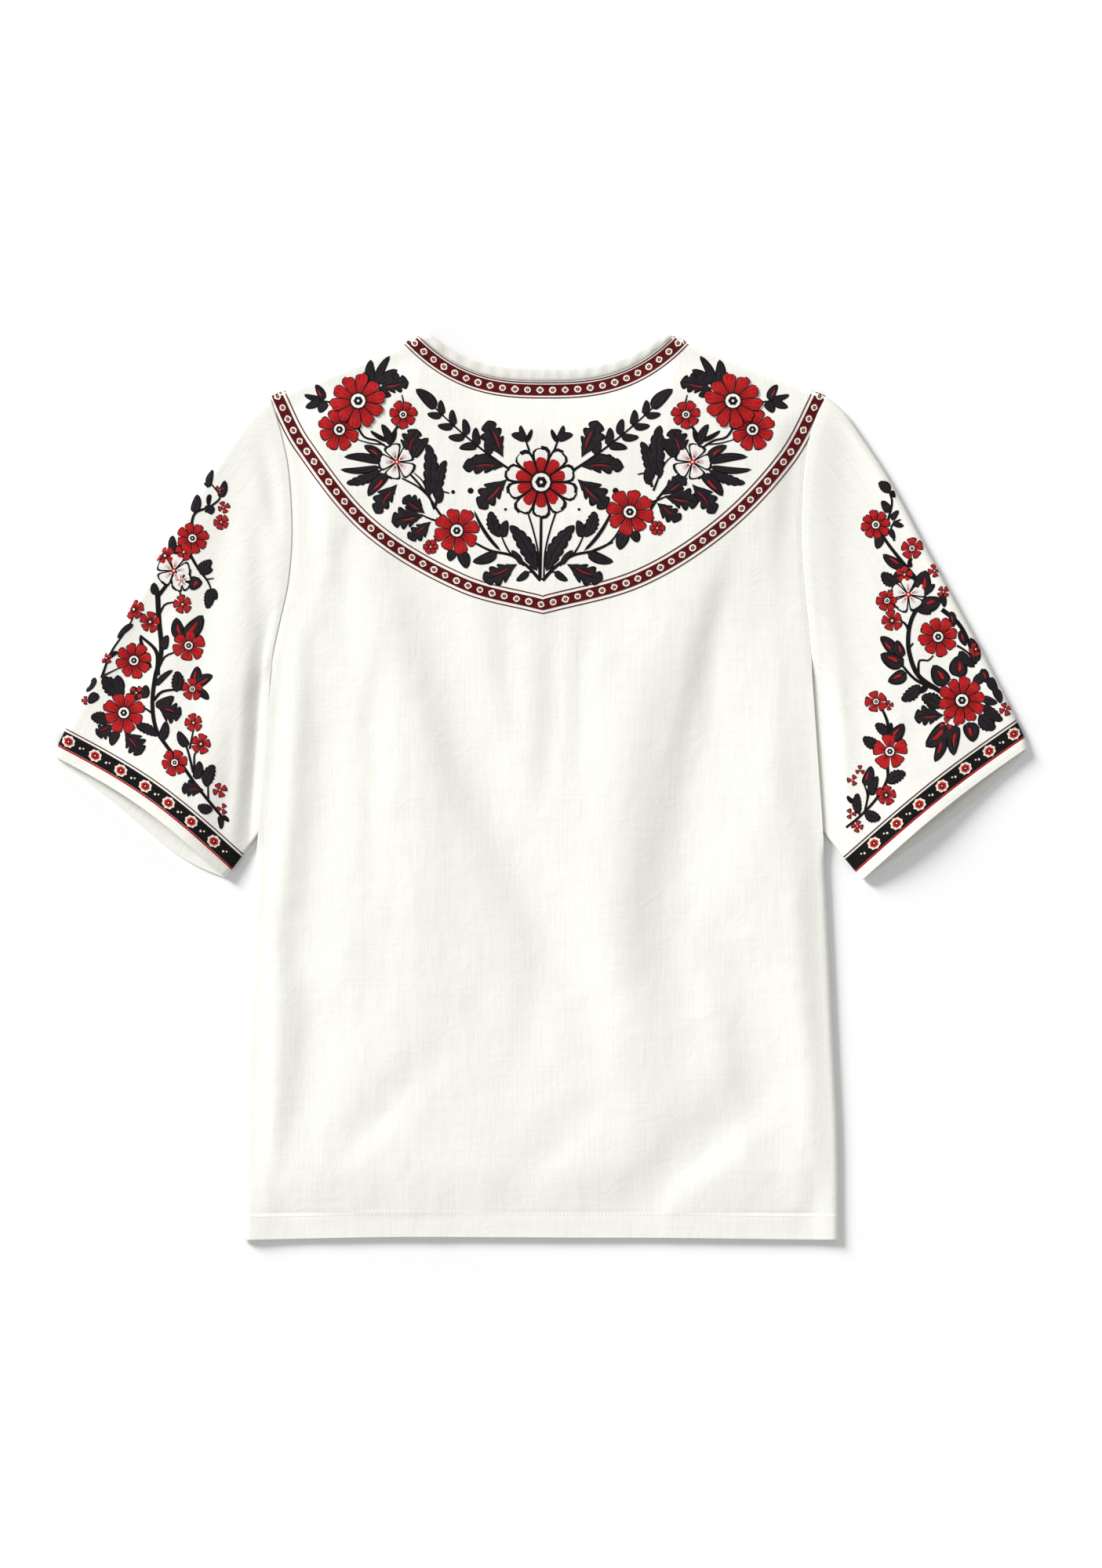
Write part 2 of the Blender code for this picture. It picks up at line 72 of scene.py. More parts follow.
class SleeveRow(NamedTuple):
    """The lie of one sleeve, with x measured outwards."""

    name: str
    side: int
    edge: tuple[Point, ...]
    cuff_tip: Point
    cuff_corner: Point
    bow_in: float
    bow_out: float
    skew: float
    underarm: Point


# Heights up the body, and how far its left and right edges are from the middle.
BODY_EDGE = np.array([
    (-364, 239, 239.4), (-280, 238, 238.6), (-217, 236.3, 235.6), (-116, 232.3, 230.8), (-38, 226.4, 226.8),
    (20, 221.6, 222.8), (84, 216.2, 218.4), (109, 213.4, 217), (132, 208.4, 214.9), (160, 202.2, 211.9),
    (191, 199, 209.6), (219, 198.9, 209.6), (254, 201.4, 211.6), (279, 206.3, 215.2), (298, 211.6, 221.2),
    (313.5, 216.7, 229),
])

BACK_CREASES = (
    Crease((196, 190), (116, -45), (126, -190), 30, 5.2, 0.2),
    Crease((150, -120), (172, -210), (192, -312), 24, 4.6, 0.2),
    Crease((112, 150), (60, -40), (84, -290), 24, -2.0),
    Crease((160, 190), (126, 60), (112, -60), 13, 1.8, 0.1),
    Crease((206, 220), (202, 90), (206, -60), 12, 1.8, 0.1),
    Crease((-102, 176), (-44, -12), (38, -172), 22, 4.6, 0.2),
    Crease((-120, 130), (-96, -60), (-110, -270), 30, -1.4),
    Crease((-190, 172), (-176, 20), (-192, -130), 20, 3.8, 0.2),
    Crease((-200, -110), (-184, -200), (-204, -300), 18, 3.0, 0.2),
    Crease((66, -346), (122, -296), (194, -236), 20, 3.8, 0.2),
    Crease((-158, -292), (-124, -260), (-86, -218), 15, 1.3, 0.1),
    Crease((-20, -330), (8, -292), (40, -262), 16, 1.1, 0.1),
    Crease((-14, -90), (0, -150), (-18, -220), 18, 1.3, 0.1),
    Crease((216, -300), (222, -330), (206, -354), 9, 1.8),
    Crease((-218, -304), (-208, -332), (-190, -352), 9, 1.3),
    Crease((10, 132), (10, 70), (2, -10), 9, 1.5),
    Crease((36, 130), (32, 80), (30, 10), 9, 1.4),
    Crease((-28, 134), (-26, 90), (-20, 40), 9, 1.3),
    Crease((148, 150), (138, 90), (142, 10), 10, 1.6),
    Crease((-150, 214), (-158, 160), (-150, 90), 12, 1.6, 0.1),
    Crease((-128, 100), (-136, 20), (-132, -70), 11, 1.3, 0.1),
    Crease((-206, 296), (-190, 240), (-184, 160), 10, 2.0, 0.1),
)

SLEEVES = (
    SleeveRow(
        "sleeve_left", -1,
        ((232.0, 299.5), (245.5, 282.0), (268.4, 247.6), (302.4, 190.9), (344.3, 115.3), (384.0, 39.7)),
        (390.8, 24.5), (253.0, -73.5), 7.6, 7.0, 2.2, (211.0, -18.0),
    ),
    SleeveRow(
        "sleeve_right", 1,
        ((243.5, 300.0), (256.0, 283.0), (279.1, 247.6), (309.5, 190.9), (350.3, 115.3), (386.6, 43.0)),
        (390.8, 31.0), (258.5, -75.0), 3.8, 6.6, 0.8, (213.0, -19.0),
    ),
)
SLEEVE_CREASES = {
    "sleeve_left": (
        Crease((226, 214), (224, 100), (232, -40), 9, 1.8),
        Crease((224, 272), (216, 240), (212, 206), 6, 1.2),
        Crease((246, 240), (268, 130), (282, 30), 14, 1.6),
        Crease((300, 150), (330, 90), (350, 30), 14, 1.3),
        Crease((246, 60), (250, 0), (262, -50), 9, 1.1),
    ),
    "sleeve_right": (
        Crease((250, 290), (249, 160), (268, -30), 20, 4.6, 0.15),
        Crease((266, 240), (286, 130), (302, 10), 18, 1.8, 0.1),
        Crease((288, 230), (312, 150), (324, 60), 16, 1.4, 0.1),
        Crease((320, 130), (340, 80), (352, 30), 15, 1.2, 0.1),
    ),
}
# How far inside the body's edge the armhole's tuck is, at heights up the body.
TUCK = ((60.0, 5.5), (32.0, 10.5), (4.0, 13.5))
# Height, length across, length along and start of each size of unevenness.
RUMPLES = ((0.42, 34, 62, 0), (0.16, 11, 19, 4), (0.05, 4.5, 6, 9))
BACK_SEED = 1.0
SLEEVE_SEED = 7.0
CREASE_STEPS = 24
CREASE_END_SHARE = 0.25


def mix(a: Any, b: Any, share: Any) -> Any:
    """The value that lies this share of the way from a to b."""
    return a + (b - a) * share


def ease(low: float, high: float, value: Any) -> Any:
    """0 below low, 1 above high, and a smooth rise in between."""
    t = np.clip((value - low) / (high - low), 0.0, 1.0)
    return t * t * (3 - 2 * t)


def fold_rise(distance: Any, radius: float) -> Any:
    """How far up a round fold a point stands, from 0 at its edge to 1 a radius away."""
    t = np.clip(distance / radius, 0, 1)
    return np.sqrt(np.maximum(0, 1 - (1 - t) ** 2))


def glide(stops: Array, rows: Array, target: Any) -> Array:
    """A smooth curve through rows of values.

    Args:
        stops: the rising place of each row.
        rows: the values, a row for each stop.
        target: the places to find.

    Returns:
        The values at those places, in the last axis.
    """
    last = len(stops) - 1
    i = np.clip(np.searchsorted(stops, target, "right") - 1, 0, last - 1)
    before, after = np.maximum(i - 1, 0), np.minimum(i + 2, last)
    span = (stops[i + 1] - stops[i])[..., None]
    slope_p = (rows[i + 1] - rows[before]) / (stops[i + 1] - stops[before])[..., None]
    slope_q = (rows[after] - rows[i]) / (stops[after] - stops[i])[..., None]
    t = (target - stops[i])[..., None] / span
    return (
        (2 * t**3 - 3 * t * t + 1) * rows[i]
        + (t**3 - 2 * t * t + t) * span * slope_p
        + (3 * t * t - 2 * t**3) * rows[i + 1]
        + (t**3 - t * t) * span * slope_q
    )


def lengths_along(line: Array) -> Array:
    """How far along a line each of its points is."""
    return np.concatenate(([0.0], np.cumsum(np.hypot(*np.diff(line, axis=0).T))))


def point_at(line: Array, stops: Array, stop: float) -> Point:
    """The plan point that is this far along a line with these lengths."""
    return float(np.interp(stop, stops, line[:, 0])), float(np.interp(stop, stops, line[:, 1]))


def tangents(line: Array) -> Array:
    """Unit tangents at the points of a line."""
    run = np.gradient(line, axis=0)
    return run / (np.hypot(*run.T)[:, None] + 1e-9)


def placed(origin: Point, heading: float, along: float, off: float = 0.0) -> Point:
    """The plan point that is this far along a heading and to the left of it."""
    cos, sin = math.cos(heading), math.sin(heading)
    return origin[0] + along * cos - off * sin, origin[1] + along * sin + off * cos


def beside(line: Array, tangent: Array, place: float, off: float) -> Point:
    """A plan point beside a line.

    Args:
        line: dense plan points.
        tangent: the unit tangent at each of them.
        place: how many steps along the line it is.
        off: how far to the left of the line it is.

    Returns:
        The plan point.
    """
    k = min(len(line) - 2, int(place))
    p, t = mix(line[k], line[k + 1], place - k), mix(tangent[k], tangent[k + 1], place - k)
    return float(p[0] - t[1] * off), float(p[1] + t[0] * off)


def through(points: Sequence[Point], share: Any) -> Array:
    """A smooth curve through plan points, by share of its chord length.

    Args:
        points: plan points, in order.
        share: one share, or an array of them.

    Returns:
        The plan points at those shares, with x and y in the last axis.
    """
    line = np.asarray(points, dtype=float)
    stops = lengths_along(line)
    return glide(stops, line, np.asarray(share, dtype=float) * stops[-1])


def bend(start: Point, middle: Point, end: Point, t: Any) -> Array:
    """A parabola that passes near its middle point.

    Args:
        start: its first plan point.
        middle: the plan point half-way.
        end: its last plan point.
        t: shares of the way along it.

    Returns:
        The plan points at those shares, with x and y in the last axis.
    """
    a, b, c = (np.asarray(p, dtype=float) for p in (start, middle, end))
    control = 2 * b - (a + c) / 2
    t = np.asarray(t, dtype=float)[..., None]
    return (1 - t) ** 2 * a + 2 * t * (1 - t) * control + t * t * c


def crease_depths(creases: Iterable[Crease], x: Array, y: Array, limit: float) -> Array:
    """How far the cloth dips at plan points.

    Args:
        creases: the troughs and ridges.
        x: plan x of each point.
        y: plan y of each point.
        limit: the deepest that troughs may add up to.

    Returns:
        The dip in millimetres, below zero on a ridge.
    """
    total = np.zeros_like(x)
    for c in creases:
        line = bend(c.start, c.middle, c.end, np.linspace(0, 1, CREASE_STEPS + 1))
        best = np.full(x.shape, np.inf)
        across, along = np.zeros_like(x), np.zeros_like(x)
        for k, (p, q) in enumerate(zip(line[:-1], line[1:])):
            run = q - p
            length = math.hypot(*run)
            t = np.clip(((x - p[0]) * run[0] + (y - p[1]) * run[1]) / length**2, 0, 1)
            away_x, away_y = x - p[0] - t * run[0], y - p[1] - t * run[1]
            distance = np.hypot(away_x, away_y)
            near = distance < best
            best = np.where(near, distance, best)
            sine = (run[0] * away_y - run[1] * away_x) / (length * distance + 1e-6)
            across = np.where(near, sine, across)
            along = np.where(near, (k + t) / CREASE_STEPS, along)
        width = c.width * (1 + c.lean * across)
        fade = mix(CREASE_END_SHARE, 1.0, np.sin(np.pi * np.clip(along, 0.02, 0.98)) ** 0.7)
        total += c.depth * fade * np.exp(-((best / width) ** 2))
    return np.where(total > 0, limit * (1 - np.exp(-total / limit)), total)


def rumple(x: Array, y: Array, seed: float) -> Array:
    """The small unevenness of pressed linen, up to about half a millimetre.

    Args:
        x: plan x of each point.
        y: plan y of each point.
        seed: which stretch of unevenness it is.

    Returns:
        Heights in millimetres.
    """
    heights = [
        sum(high * noise.noise(Vector((a / wide, b / long, seed + k))) for high, wide, long, k in RUMPLES)
        for a, b in zip(x.ravel(), y.ravel())
    ]
    return np.asarray(heights).reshape(x.shape)


@dataclass(frozen=True)
class Cloth:
    """Sizes that all the pieces of cloth share."""

    floor_gap: float = 0.35
    least_height: float = 2.2
    fold_radius: float = 6.0
    fold_top: float = 5.4
    seam_gap: float = 0.3
    armhole_gap: float = 0.12
    armhole_dip: float = 0.35
    armhole_dip_width: float = 3.0
    armhole_dip_ease: float = 15.0
    loft: float = 8.0
    deepest_trough: float = 5.5
    edge_height: float = 4.4
    edge_trough_share: float = 0.35
    side_flat: float = 5.0
    side_ease: float = 28.0
    hem_ease: float = 60.0
    hem_groove: float = 0.3
    hem_groove_width: float = 1.1
    neck_ease: float = 45.0
    curl_start_y: float = -42.0
    curl_full_y: float = -64.0
    tuck_start_y: float = 84.0
    seam_end_y: float = 109.0

    @property
    def seam_height(self) -> float:
        """Height of the seam that joins back and front."""
        return self.fold_top / 2

    def seam_dip(self, distance: Any, y: Any) -> Any:
        """How far cloth dips this far from an armhole's seam, at heights y up the body."""
        dip = self.armhole_dip * np.exp(-((distance / self.armhole_dip_width) ** 2))
        return dip * ease(self.tuck_start_y - self.armhole_dip_ease, self.seam_end_y, y)


@dataclass(frozen=True)
class Outline:
    """The body's edge as it lies: sides, shoulders, neck and hem."""

    hem_y: float = -362.7
    hem_depth: float = 20.0
    shoulder_y: float = 313.5
    neck_y: float = 364.1
    neck_x: float = 4.75
    neck_half: float = 95.4
    neck_drop: float = 28.0
    neck_power: float = 2.8
    v_depth: float = 155.0
    v_power: float = 1.12
    binding_side: float = 7.0
    binding_back: float = 11.3
    binding_point: float = 14.0

    def edge_x(self, y: Any, side: Any) -> Any:
        """How far the edge is from the middle at heights y; side is -1 for left and 1 for right."""
        found = glide(BODY_EDGE[:, 0], BODY_EDGE[:, 1:], np.clip(y, BODY_EDGE[0, 0], BODY_EDGE[-1, 0]))
        return np.where(np.asarray(side) < 0, found[..., 0], found[..., 1])

    def shoulder_point(self, side: int) -> Array:
        """Outer end of a shoulder seam."""
        return np.array([side * float(self.edge_x(self.shoulder_y, side)), self.shoulder_y])

    def neck_point(self, side: int) -> Array:
        """Inner end of a shoulder seam, at the neck's edge."""
        return np.array([self.neck_x + side * self.neck_half, self.neck_y])

    def binding_end(self, side: int) -> Array:
        """Where the binding's lower edge meets the shoulder seam."""
        neck, outer = self.neck_point(side), self.shoulder_point(side)
        return mix(neck, outer, self.binding_side / float(np.hypot(*(outer - neck))))

    def shoulder_inward(self, side: int) -> Array:
        """Unit vector square to a shoulder seam, pointing into the body."""
        run = self.shoulder_point(side) - self.neck_point(side)
        return side * np.array([run[1], -run[0]]) / float(np.hypot(*run))

    def shoulder_distance(self, x: Array, y: Array) -> Array:
        """How far points of the body are below the nearer shoulder seam.

        Args:
            x: plan x of each point.
            y: plan y of each point.

        Returns:
            Distances in millimetres.
        """
        found = []
        for side in (-1, 1):
            outer, inward = self.shoulder_point(side), self.shoulder_inward(side)
            found.append((x - outer[0]) * inward[0] + (y - outer[1]) * inward[1])
        return np.where(x < self.neck_x, found[0], found[1])

    def edge_curve(self, share: Any, drop: float, power: float) -> tuple[Any, Any]:
        """A neck's edge that hangs from both neck points, at shares from -1 at the left to 1."""
        x = self.neck_x + share * self.neck_half
        return x, self.neck_y - drop * (1 - np.abs(share) ** power)

    def seam_curve(self, share: Any, drop: float, power: float) -> tuple[Any, Any]:
        """A seam between a body piece and its binding, at the same shares."""
        x, y = self.binding_end(1)
        return mix(self.neck_x, x, share), y - (drop - self.neck_y + y) * (1 - np.abs(share) ** power)

    def neck_edge(self, share: Any) -> tuple[Any, Any]:
        """The back neck's edge, a round one."""
        return self.edge_curve(share, self.neck_drop, self.neck_power)

    def back_seam(self, share: Any) -> tuple[Any, Any]:
        """The seam between the back and its binding."""
        return self.seam_curve(share, self.neck_drop + self.binding_back, self.neck_power)

    def v_edge(self, share: Any) -> tuple[Any, Any]:
        """The front neck's edge, a V with slightly bowed sides."""
        return self.edge_curve(share, self.v_depth, self.v_power)

    def front_seam(self, share: Any) -> tuple[Any, Any]:
        """The seam between the front and its binding."""
        return self.seam_curve(share, self.v_depth + self.binding_point, self.v_power)

    def top_edge(self, x: Array, neck_seam: Curve) -> Array:
        """A body piece's upper edge: shoulder, neck seam, shoulder.

        Args:
            x: plan x of each point.
            neck_seam: the piece's own neck seam.

        Returns:
            The plan y of the edge at those places.
        """
        left, right = self.binding_end(-1), self.binding_end(1)
        share = np.clip((x - self.neck_x) / (right[0] - self.neck_x), -1, 1)
        neck = neck_seam(share)[1]
        slopes = []
        for inner, side in ((left, -1), (right, 1)):
            outer = self.shoulder_point(side)
            slopes.append(mix(inner[1], outer[1], (x - inner[0]) / (outer[0] - inner[0])))
        return np.where(x <= left[0], slopes[0], np.where(x >= right[0], slopes[1], neck))

    def hem_wave(self, x: Array) -> Array:
        """How far the hem waves from a straight line."""
        return 1.1 * np.sin((x + 118) / 62) - 0.6 * np.cos(x / 41)


class Level(Enum):
    """Which side of the body a piece belongs to."""

    BACK = "back"
    FRONT = "front"


@dataclass(frozen=True)
class BodyLie:
    """Heights of the body's cloth, for the back and for the front beneath it."""

    outline: Outline
    cloth: Cloth

    def seam_turn(self, x: Array, y: Array) -> Array:
        """How far up their folds points of the body are.

        Args:
            x: plan x of each point.
            y: plan y of each point.

        Returns:
            Shares, from 0 at a seam to 1.
        """
        c, o = self.cloth, self.outline
        weight = 1 - ease(c.curl_full_y, c.curl_start_y, y)
        from_side = o.edge_x(y, np.where(x < 0, -1, 1)) - np.abs(x)
        side_rise = mix(1.0, fold_rise(from_side, c.fold_radius), weight)
        return side_rise * fold_rise(o.shoulder_distance(x, y), c.fold_radius)

    def back_height(self, x: Array, y: Array) -> Array:
        """Height of the back's outer surface, apart from where it turns down at the seams.

        Args:
            x: plan x of each point.
            y: plan y of each point.

        Returns:
            Heights in millimetres.
        """
        c, o = self.cloth, self.outline
        from_side = o.edge_x(y, np.where(x < 0, -1, 1)) - np.abs(x)
        from_seam = np.minimum(from_side, o.shoulder_distance(x, y))
        from_top = o.top_edge(x, o.back_seam) - y
        loose = ease(0, c.hem_ease, y - o.hem_y) * ease(0, c.neck_ease, from_top)
        dip = crease_depths(BACK_CREASES, x, y, c.deepest_trough)
        inside = mix(c.edge_height, c.loft, loose) - dip * mix(c.edge_trough_share, 1, loose)
        from_groove = (y - o.hem_y - o.hem_depth) / c.hem_groove_width
        groove = c.hem_groove * np.exp(-(from_groove**2))
        inside = np.maximum(inside + rumple(x, y, BACK_SEED) - groove, c.least_height)
        dipped = c.seam_dip(from_side, y)
        return mix(c.fold_top, inside, ease(c.side_flat, c.side_ease, from_seam)) - dipped

    def height(self, level: Level, x: Array, y: Array, rise: Any = 0.0) -> Array:
        """Height of the outer surface of the back or the front.

        Args:
            level: the back, or the front beneath it.
            x: plan x of each point.
            y: plan y of each point.
            rise: how much thicker than one layer of cloth the piece is there.

        Returns:
            Heights in millimetres above the surface it all lies on.
        """
        up = self.seam_turn(x, y)
        c = self.cloth
        if level is Level.BACK:
            return mix(c.seam_height + c.seam_gap / 2, self.back_height(x, y) + rise, up)
        return mix(c.seam_height - c.seam_gap / 2, c.floor_gap, up)


def add_object(name: str, data: Any) -> bpy.types.Object:
    """Makes an object of some data and links it to the scene."""
    obj = bpy.data.objects.new(name, data)
    bpy.context.scene.collection.objects.link(obj)
    return obj


class Piece:
    """A mesh in the making, which ends as one named object of the blouse."""

    def __init__(self, name: str) -> None:
        """Starts an empty mesh with a UV map in metres of cloth."""
        self.name = name
        self.mesh = bmesh.new()
        self.uv = self.mesh.loops.layers.uv.new("cloth")
        self.weights: dict[int, float] = {}

    def grid(self, columns: int, rows: int) -> tuple[list[Any], Array, Array]:
        """Adds a flat grid to be shaped.

        Args:
            columns: steps across.
            rows: steps along.

        Returns:
            Its vertices, and the column and row of each.
        """
        made = bmesh.ops.create_grid(self.mesh, x_segments=columns, y_segments=rows, size=0.5)["verts"]
        i = np.array([round((v.co.x + 0.5) * columns) for v in made])
        j = np.array([round((v.co.y + 0.5) * rows) for v in made])
        return made, i, j

    def shape(self, verts: Sequence[Any], points: Array, flat: Array) -> list[Any]:
        """Moves vertices to their places and gives their faces cloth coordinates.

        Args:
            verts: the vertices.
            points: where each of them goes, in millimetres.
            flat: where each of them is on the flat cloth, in millimetres.

        Returns:
            Their faces.
        """
        places = {}
        for v, p, uv in zip(verts, points, flat):
            v.co = Vector(p) * MM
            places[v] = (float(uv[0]) * MM, float(uv[1]) * MM)
        faces = {f for v in verts for f in v.link_faces}
        for face in faces:
            for loop in face.loops:
                if loop.vert in places:
                    loop[self.uv].uv = places[loop.vert]
        return list(faces)

    def face_up(self, faces: list[Any]) -> None:
        """Turns faces over if the highest of them looks down.

        Args:
            faces: the faces, which look the same way.
        """
        top = max(faces, key=lambda f: f.calc_center_median().z)
        top.normal_update()
        if top.normal.z < 0:
            bmesh.ops.reverse_faces(self.mesh, faces=faces)

    def tree(self) -> BVHTree:
        """The mesh as it is, to lay other things on."""
        return BVHTree.FromBMesh(self.mesh)

    def finish(
        self, material: bpy.types.Material, wall: float = 0.0, thin: float = 1.0, smooth: bool = True
    ) -> bpy.types.Object:
        """Makes the object.

        Args:
            material: what it is made of.
            wall: thickness of its cloth, or 0 for none.
            thin: share of that thickness where nothing is turned up.
            smooth: whether its faces are shaded as one surface.

        Returns:
            The new object, linked to the scene and riding on the blouse.
        """
        data = bpy.data.meshes.new(self.name)
        self.mesh.to_mesh(data)
        self.mesh.free()
        data.materials.append(material)
        if smooth:
            data.shade_smooth()
        obj = add_object(self.name, data)
        if self.weights:
            group = obj.vertex_groups.new(name="turned_up")
            for index, weight in self.weights.items():
                group.add([index], weight, "REPLACE")
        if wall:
            solid = obj.modifiers.new("wall", "SOLIDIFY")
            solid.thickness = wall * MM
            solid.offset = -1
            if self.weights:
                solid.vertex_group = "turned_up"
                solid.thickness_vertex_group = thin
        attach(obj, "root")
        LOG.info("%s: %d faces", obj.name, len(data.polygons))
        return obj


@dataclass
class BodyPanel:
    """The back or the front, one piece of cloth from its turned hem to the shoulders."""

    outline: Outline
    cloth: Cloth
    lie: BodyLie
    level: Level
    shoulder_columns: int = 30
    neck_columns: int = 52
    skirt_rows: int = 74
    upper_rows: int = 96
    fold_steps: int = 6
    hem_rise: float = 0.2
    rows_in_hem: tuple[float, ...] = (0.0, 0.6, 6.0, 13.0)
    rows_by_hem_seam: tuple[float, ...] = (-1.6, -0.5, 0.3, 1.6)
    first_open_row: float = 4.0

    @property
    def neck_seam(self) -> Curve:
        """The panel's own neckline."""
        return self.outline.back_seam if self.level is Level.BACK else self.outline.front_seam

    def folds(self) -> Array:
        """Distances from a folded edge at which columns and rows stand."""
        angles = np.radians(np.linspace(0, 90, self.fold_steps + 1))
        return self.cloth.fold_radius * (1 - np.cos(angles))

    def columns(self) -> tuple[Array, Array, Array]:
        """Where the columns stand, from left to right.

        Returns:
            The side that each belongs to or 0, its distance from that side's edge, and its plan x
            at the top where it belongs to none.
        """
        o = self.outline
        left, right = o.binding_end(-1)[0], o.binding_end(1)[0]
        first = self.cloth.fold_radius - float(o.edge_x(o.shoulder_y, -1))
        last = float(o.edge_x(o.shoulder_y, 1)) - self.cloth.fold_radius
        neck = np.sin(np.linspace(-np.pi / 2, np.pi / 2, self.neck_columns + 1))
        places = np.concatenate(
            (
                np.linspace(first, left, self.shoulder_columns + 1)[:-1],
                o.neck_x + neck * (right - o.neck_x),
                np.linspace(right, last, self.shoulder_columns + 1)[1:],
            )
        )
        folds = self.folds()[:-1]
        side = np.concatenate((-np.ones(len(folds)), np.zeros(len(places)), np.ones(len(folds))))
        fold = np.concatenate((folds, np.zeros(len(places)), folds[::-1]))
        place = np.concatenate((np.zeros(len(folds)), places, np.zeros(len(folds))))
        return side, fold, place

    def rows(self) -> Array:
        """Where the rows stand.

        Returns:
            Their heights at the outer edge, from the hem to the shoulder.
        """
        o = self.outline
        hem_top = o.hem_y + o.hem_depth
        drops = self.folds() / -o.shoulder_inward(-1)[1]
        fold_start = o.shoulder_y - drops[-1]
        return np.concatenate(
            (
                o.hem_y + np.array(self.rows_in_hem),
                hem_top + np.array(self.rows_by_hem_seam),
                np.linspace(hem_top + self.first_open_row, self.cloth.curl_full_y, self.skirt_rows),
                np.linspace(self.cloth.curl_full_y, fold_start, self.upper_rows)[1:],
                o.shoulder_y - drops[-2::-1],
            )
        )

    def build(self, name: str) -> Piece:
        """Shapes the panel's cloth as it lies.

        Args:
            name: the name of its object.

        Returns:
            The shaped piece.
        """
        o, c = self.outline, self.cloth
        side, fold, place = self.columns()
        rows = self.rows()
        piece = Piece(name)
        verts, i, j = piece.grid(len(side) - 1, len(rows) - 1)
        at_edge = rows[j]
        drops = o.shoulder_y - rows
        full_drop = drops[rows < o.shoulder_y - c.fold_radius].min()
        straight = o.shoulder_y - full_drop
        share = np.clip((at_edge - rows[0]) / (straight - rows[0]), 0, 1)
        reach = o.edge_x(o.shoulder_y, side[i])
        top_x = np.where(side[i] != 0, side[i] * (reach - fold[i]), place[i])
        top = o.top_edge(top_x, self.neck_seam)
        y = at_edge + (top - o.shoulder_y) * share + o.hem_wave(top_x) * (1 - share) ** 4
        first, last = place[side == 0][0], place[side == 0][-1]
        inner_left, inner_right = c.fold_radius - o.edge_x(at_edge, -1), o.edge_x(at_edge, 1) - c.fold_radius
        inside = mix(inner_left, inner_right, (place[i] - first) / (last - first))
        x = np.where(side[i] != 0, side[i] * (o.edge_x(at_edge, side[i]) - fold[i]), inside)
        in_hem = at_edge < o.hem_y + o.hem_depth
        z = self.lie.height(self.level, x, y, np.where(in_hem, self.hem_rise, 0.0))
        piece.shape(verts, np.column_stack((x, y, z)), np.column_stack((x, y)))
        if self.level is Level.FRONT:
            bmesh.ops.reverse_faces(piece.mesh, faces=piece.mesh.faces)
        piece.mesh.verts.index_update()
        piece.weights = {v.index: float(h) for v, h in zip(verts, in_hem)}
        return piece


@dataclass
class NeckBinding:
    """A doubled strip between a neck seam and the neck's edge."""

    cloth: Cloth
    lie: BodyLie
    level: Level
    edge: Curve
    seam: Curve
    columns: int = 90
    rows: int = 8
    rise: float = 0.75
    pucker: float = 0.26
    pucker_length: float = 1.9
    pucker_drift: float = 23.0

    def build(self, name: str) -> Piece:
        """Shapes the strip, a little puffed between its seam and its edge.

        Args:
            name: the name of its object.

        Returns:
            The shaped piece.
        """
        piece = Piece(name)
        verts, i, j = piece.grid(self.columns, self.rows)
        share = np.sin(np.pi * (i / self.columns - 0.5))
        low, high = self.seam(share), self.edge(share)
        width = np.hypot(high[0] - low[0], high[1] - low[1])
        across = mix(self.cloth.seam_gap / width, 1.0, j / self.rows)
        x, y = mix(low[0], high[0], across), mix(low[1], high[1], across)
        puff = 1 - np.abs(2 * j / self.rows - 1) ** 3
        waves = np.sin(x / self.pucker_length + 2 * np.sin(x / self.pucker_drift))
        pucker = self.pucker * waves * puff if self.level is Level.BACK else 0.0
        z = self.lie.height(self.level, x, y, self.rise * puff + pucker)
        piece.shape(verts, np.column_stack((x, y, z)), np.column_stack((x, y)))
        if self.level is Level.FRONT:
            bmesh.ops.reverse_faces(piece.mesh, faces=piece.mesh.faces)
        return piece


class Signal:
    """A shader socket whose arithmetic adds Math nodes."""

    def __init__(self, graph: "Graph", socket: Any) -> None:
        """Keeps the socket and the graph it belongs to."""
        self.graph = graph
        self.socket = socket

    def _math(self, operation: str, a: Any, b: Any) -> "Signal":
        """One Math node on two values."""
        return self.graph.node("ShaderNodeMath", {"operation": operation}, {0: a, 1: b})

    def __add__(self, other: Any) -> "Signal":
        """Sum."""
        return self._math("ADD", self, other)

    def __radd__(self, other: Any) -> "Signal":
        """Sum, reflected."""
        return self._math("ADD", other, self)

    def __sub__(self, other: Any) -> "Signal":
        """Difference."""
        return self._math("SUBTRACT", self, other)

    def __rsub__(self, other: Any) -> "Signal":
        """Difference, reflected."""
        return self._math("SUBTRACT", other, self)

    def __mul__(self, other: Any) -> "Signal":
        """Product."""
        return self._math("MULTIPLY", self, other)

    def __rmul__(self, other: Any) -> "Signal":
        """Product, reflected."""
        return self._math("MULTIPLY", other, self)

    def __pow__(self, other: Any) -> "Signal":
        """Power."""
        return self._math("POWER", self, other)


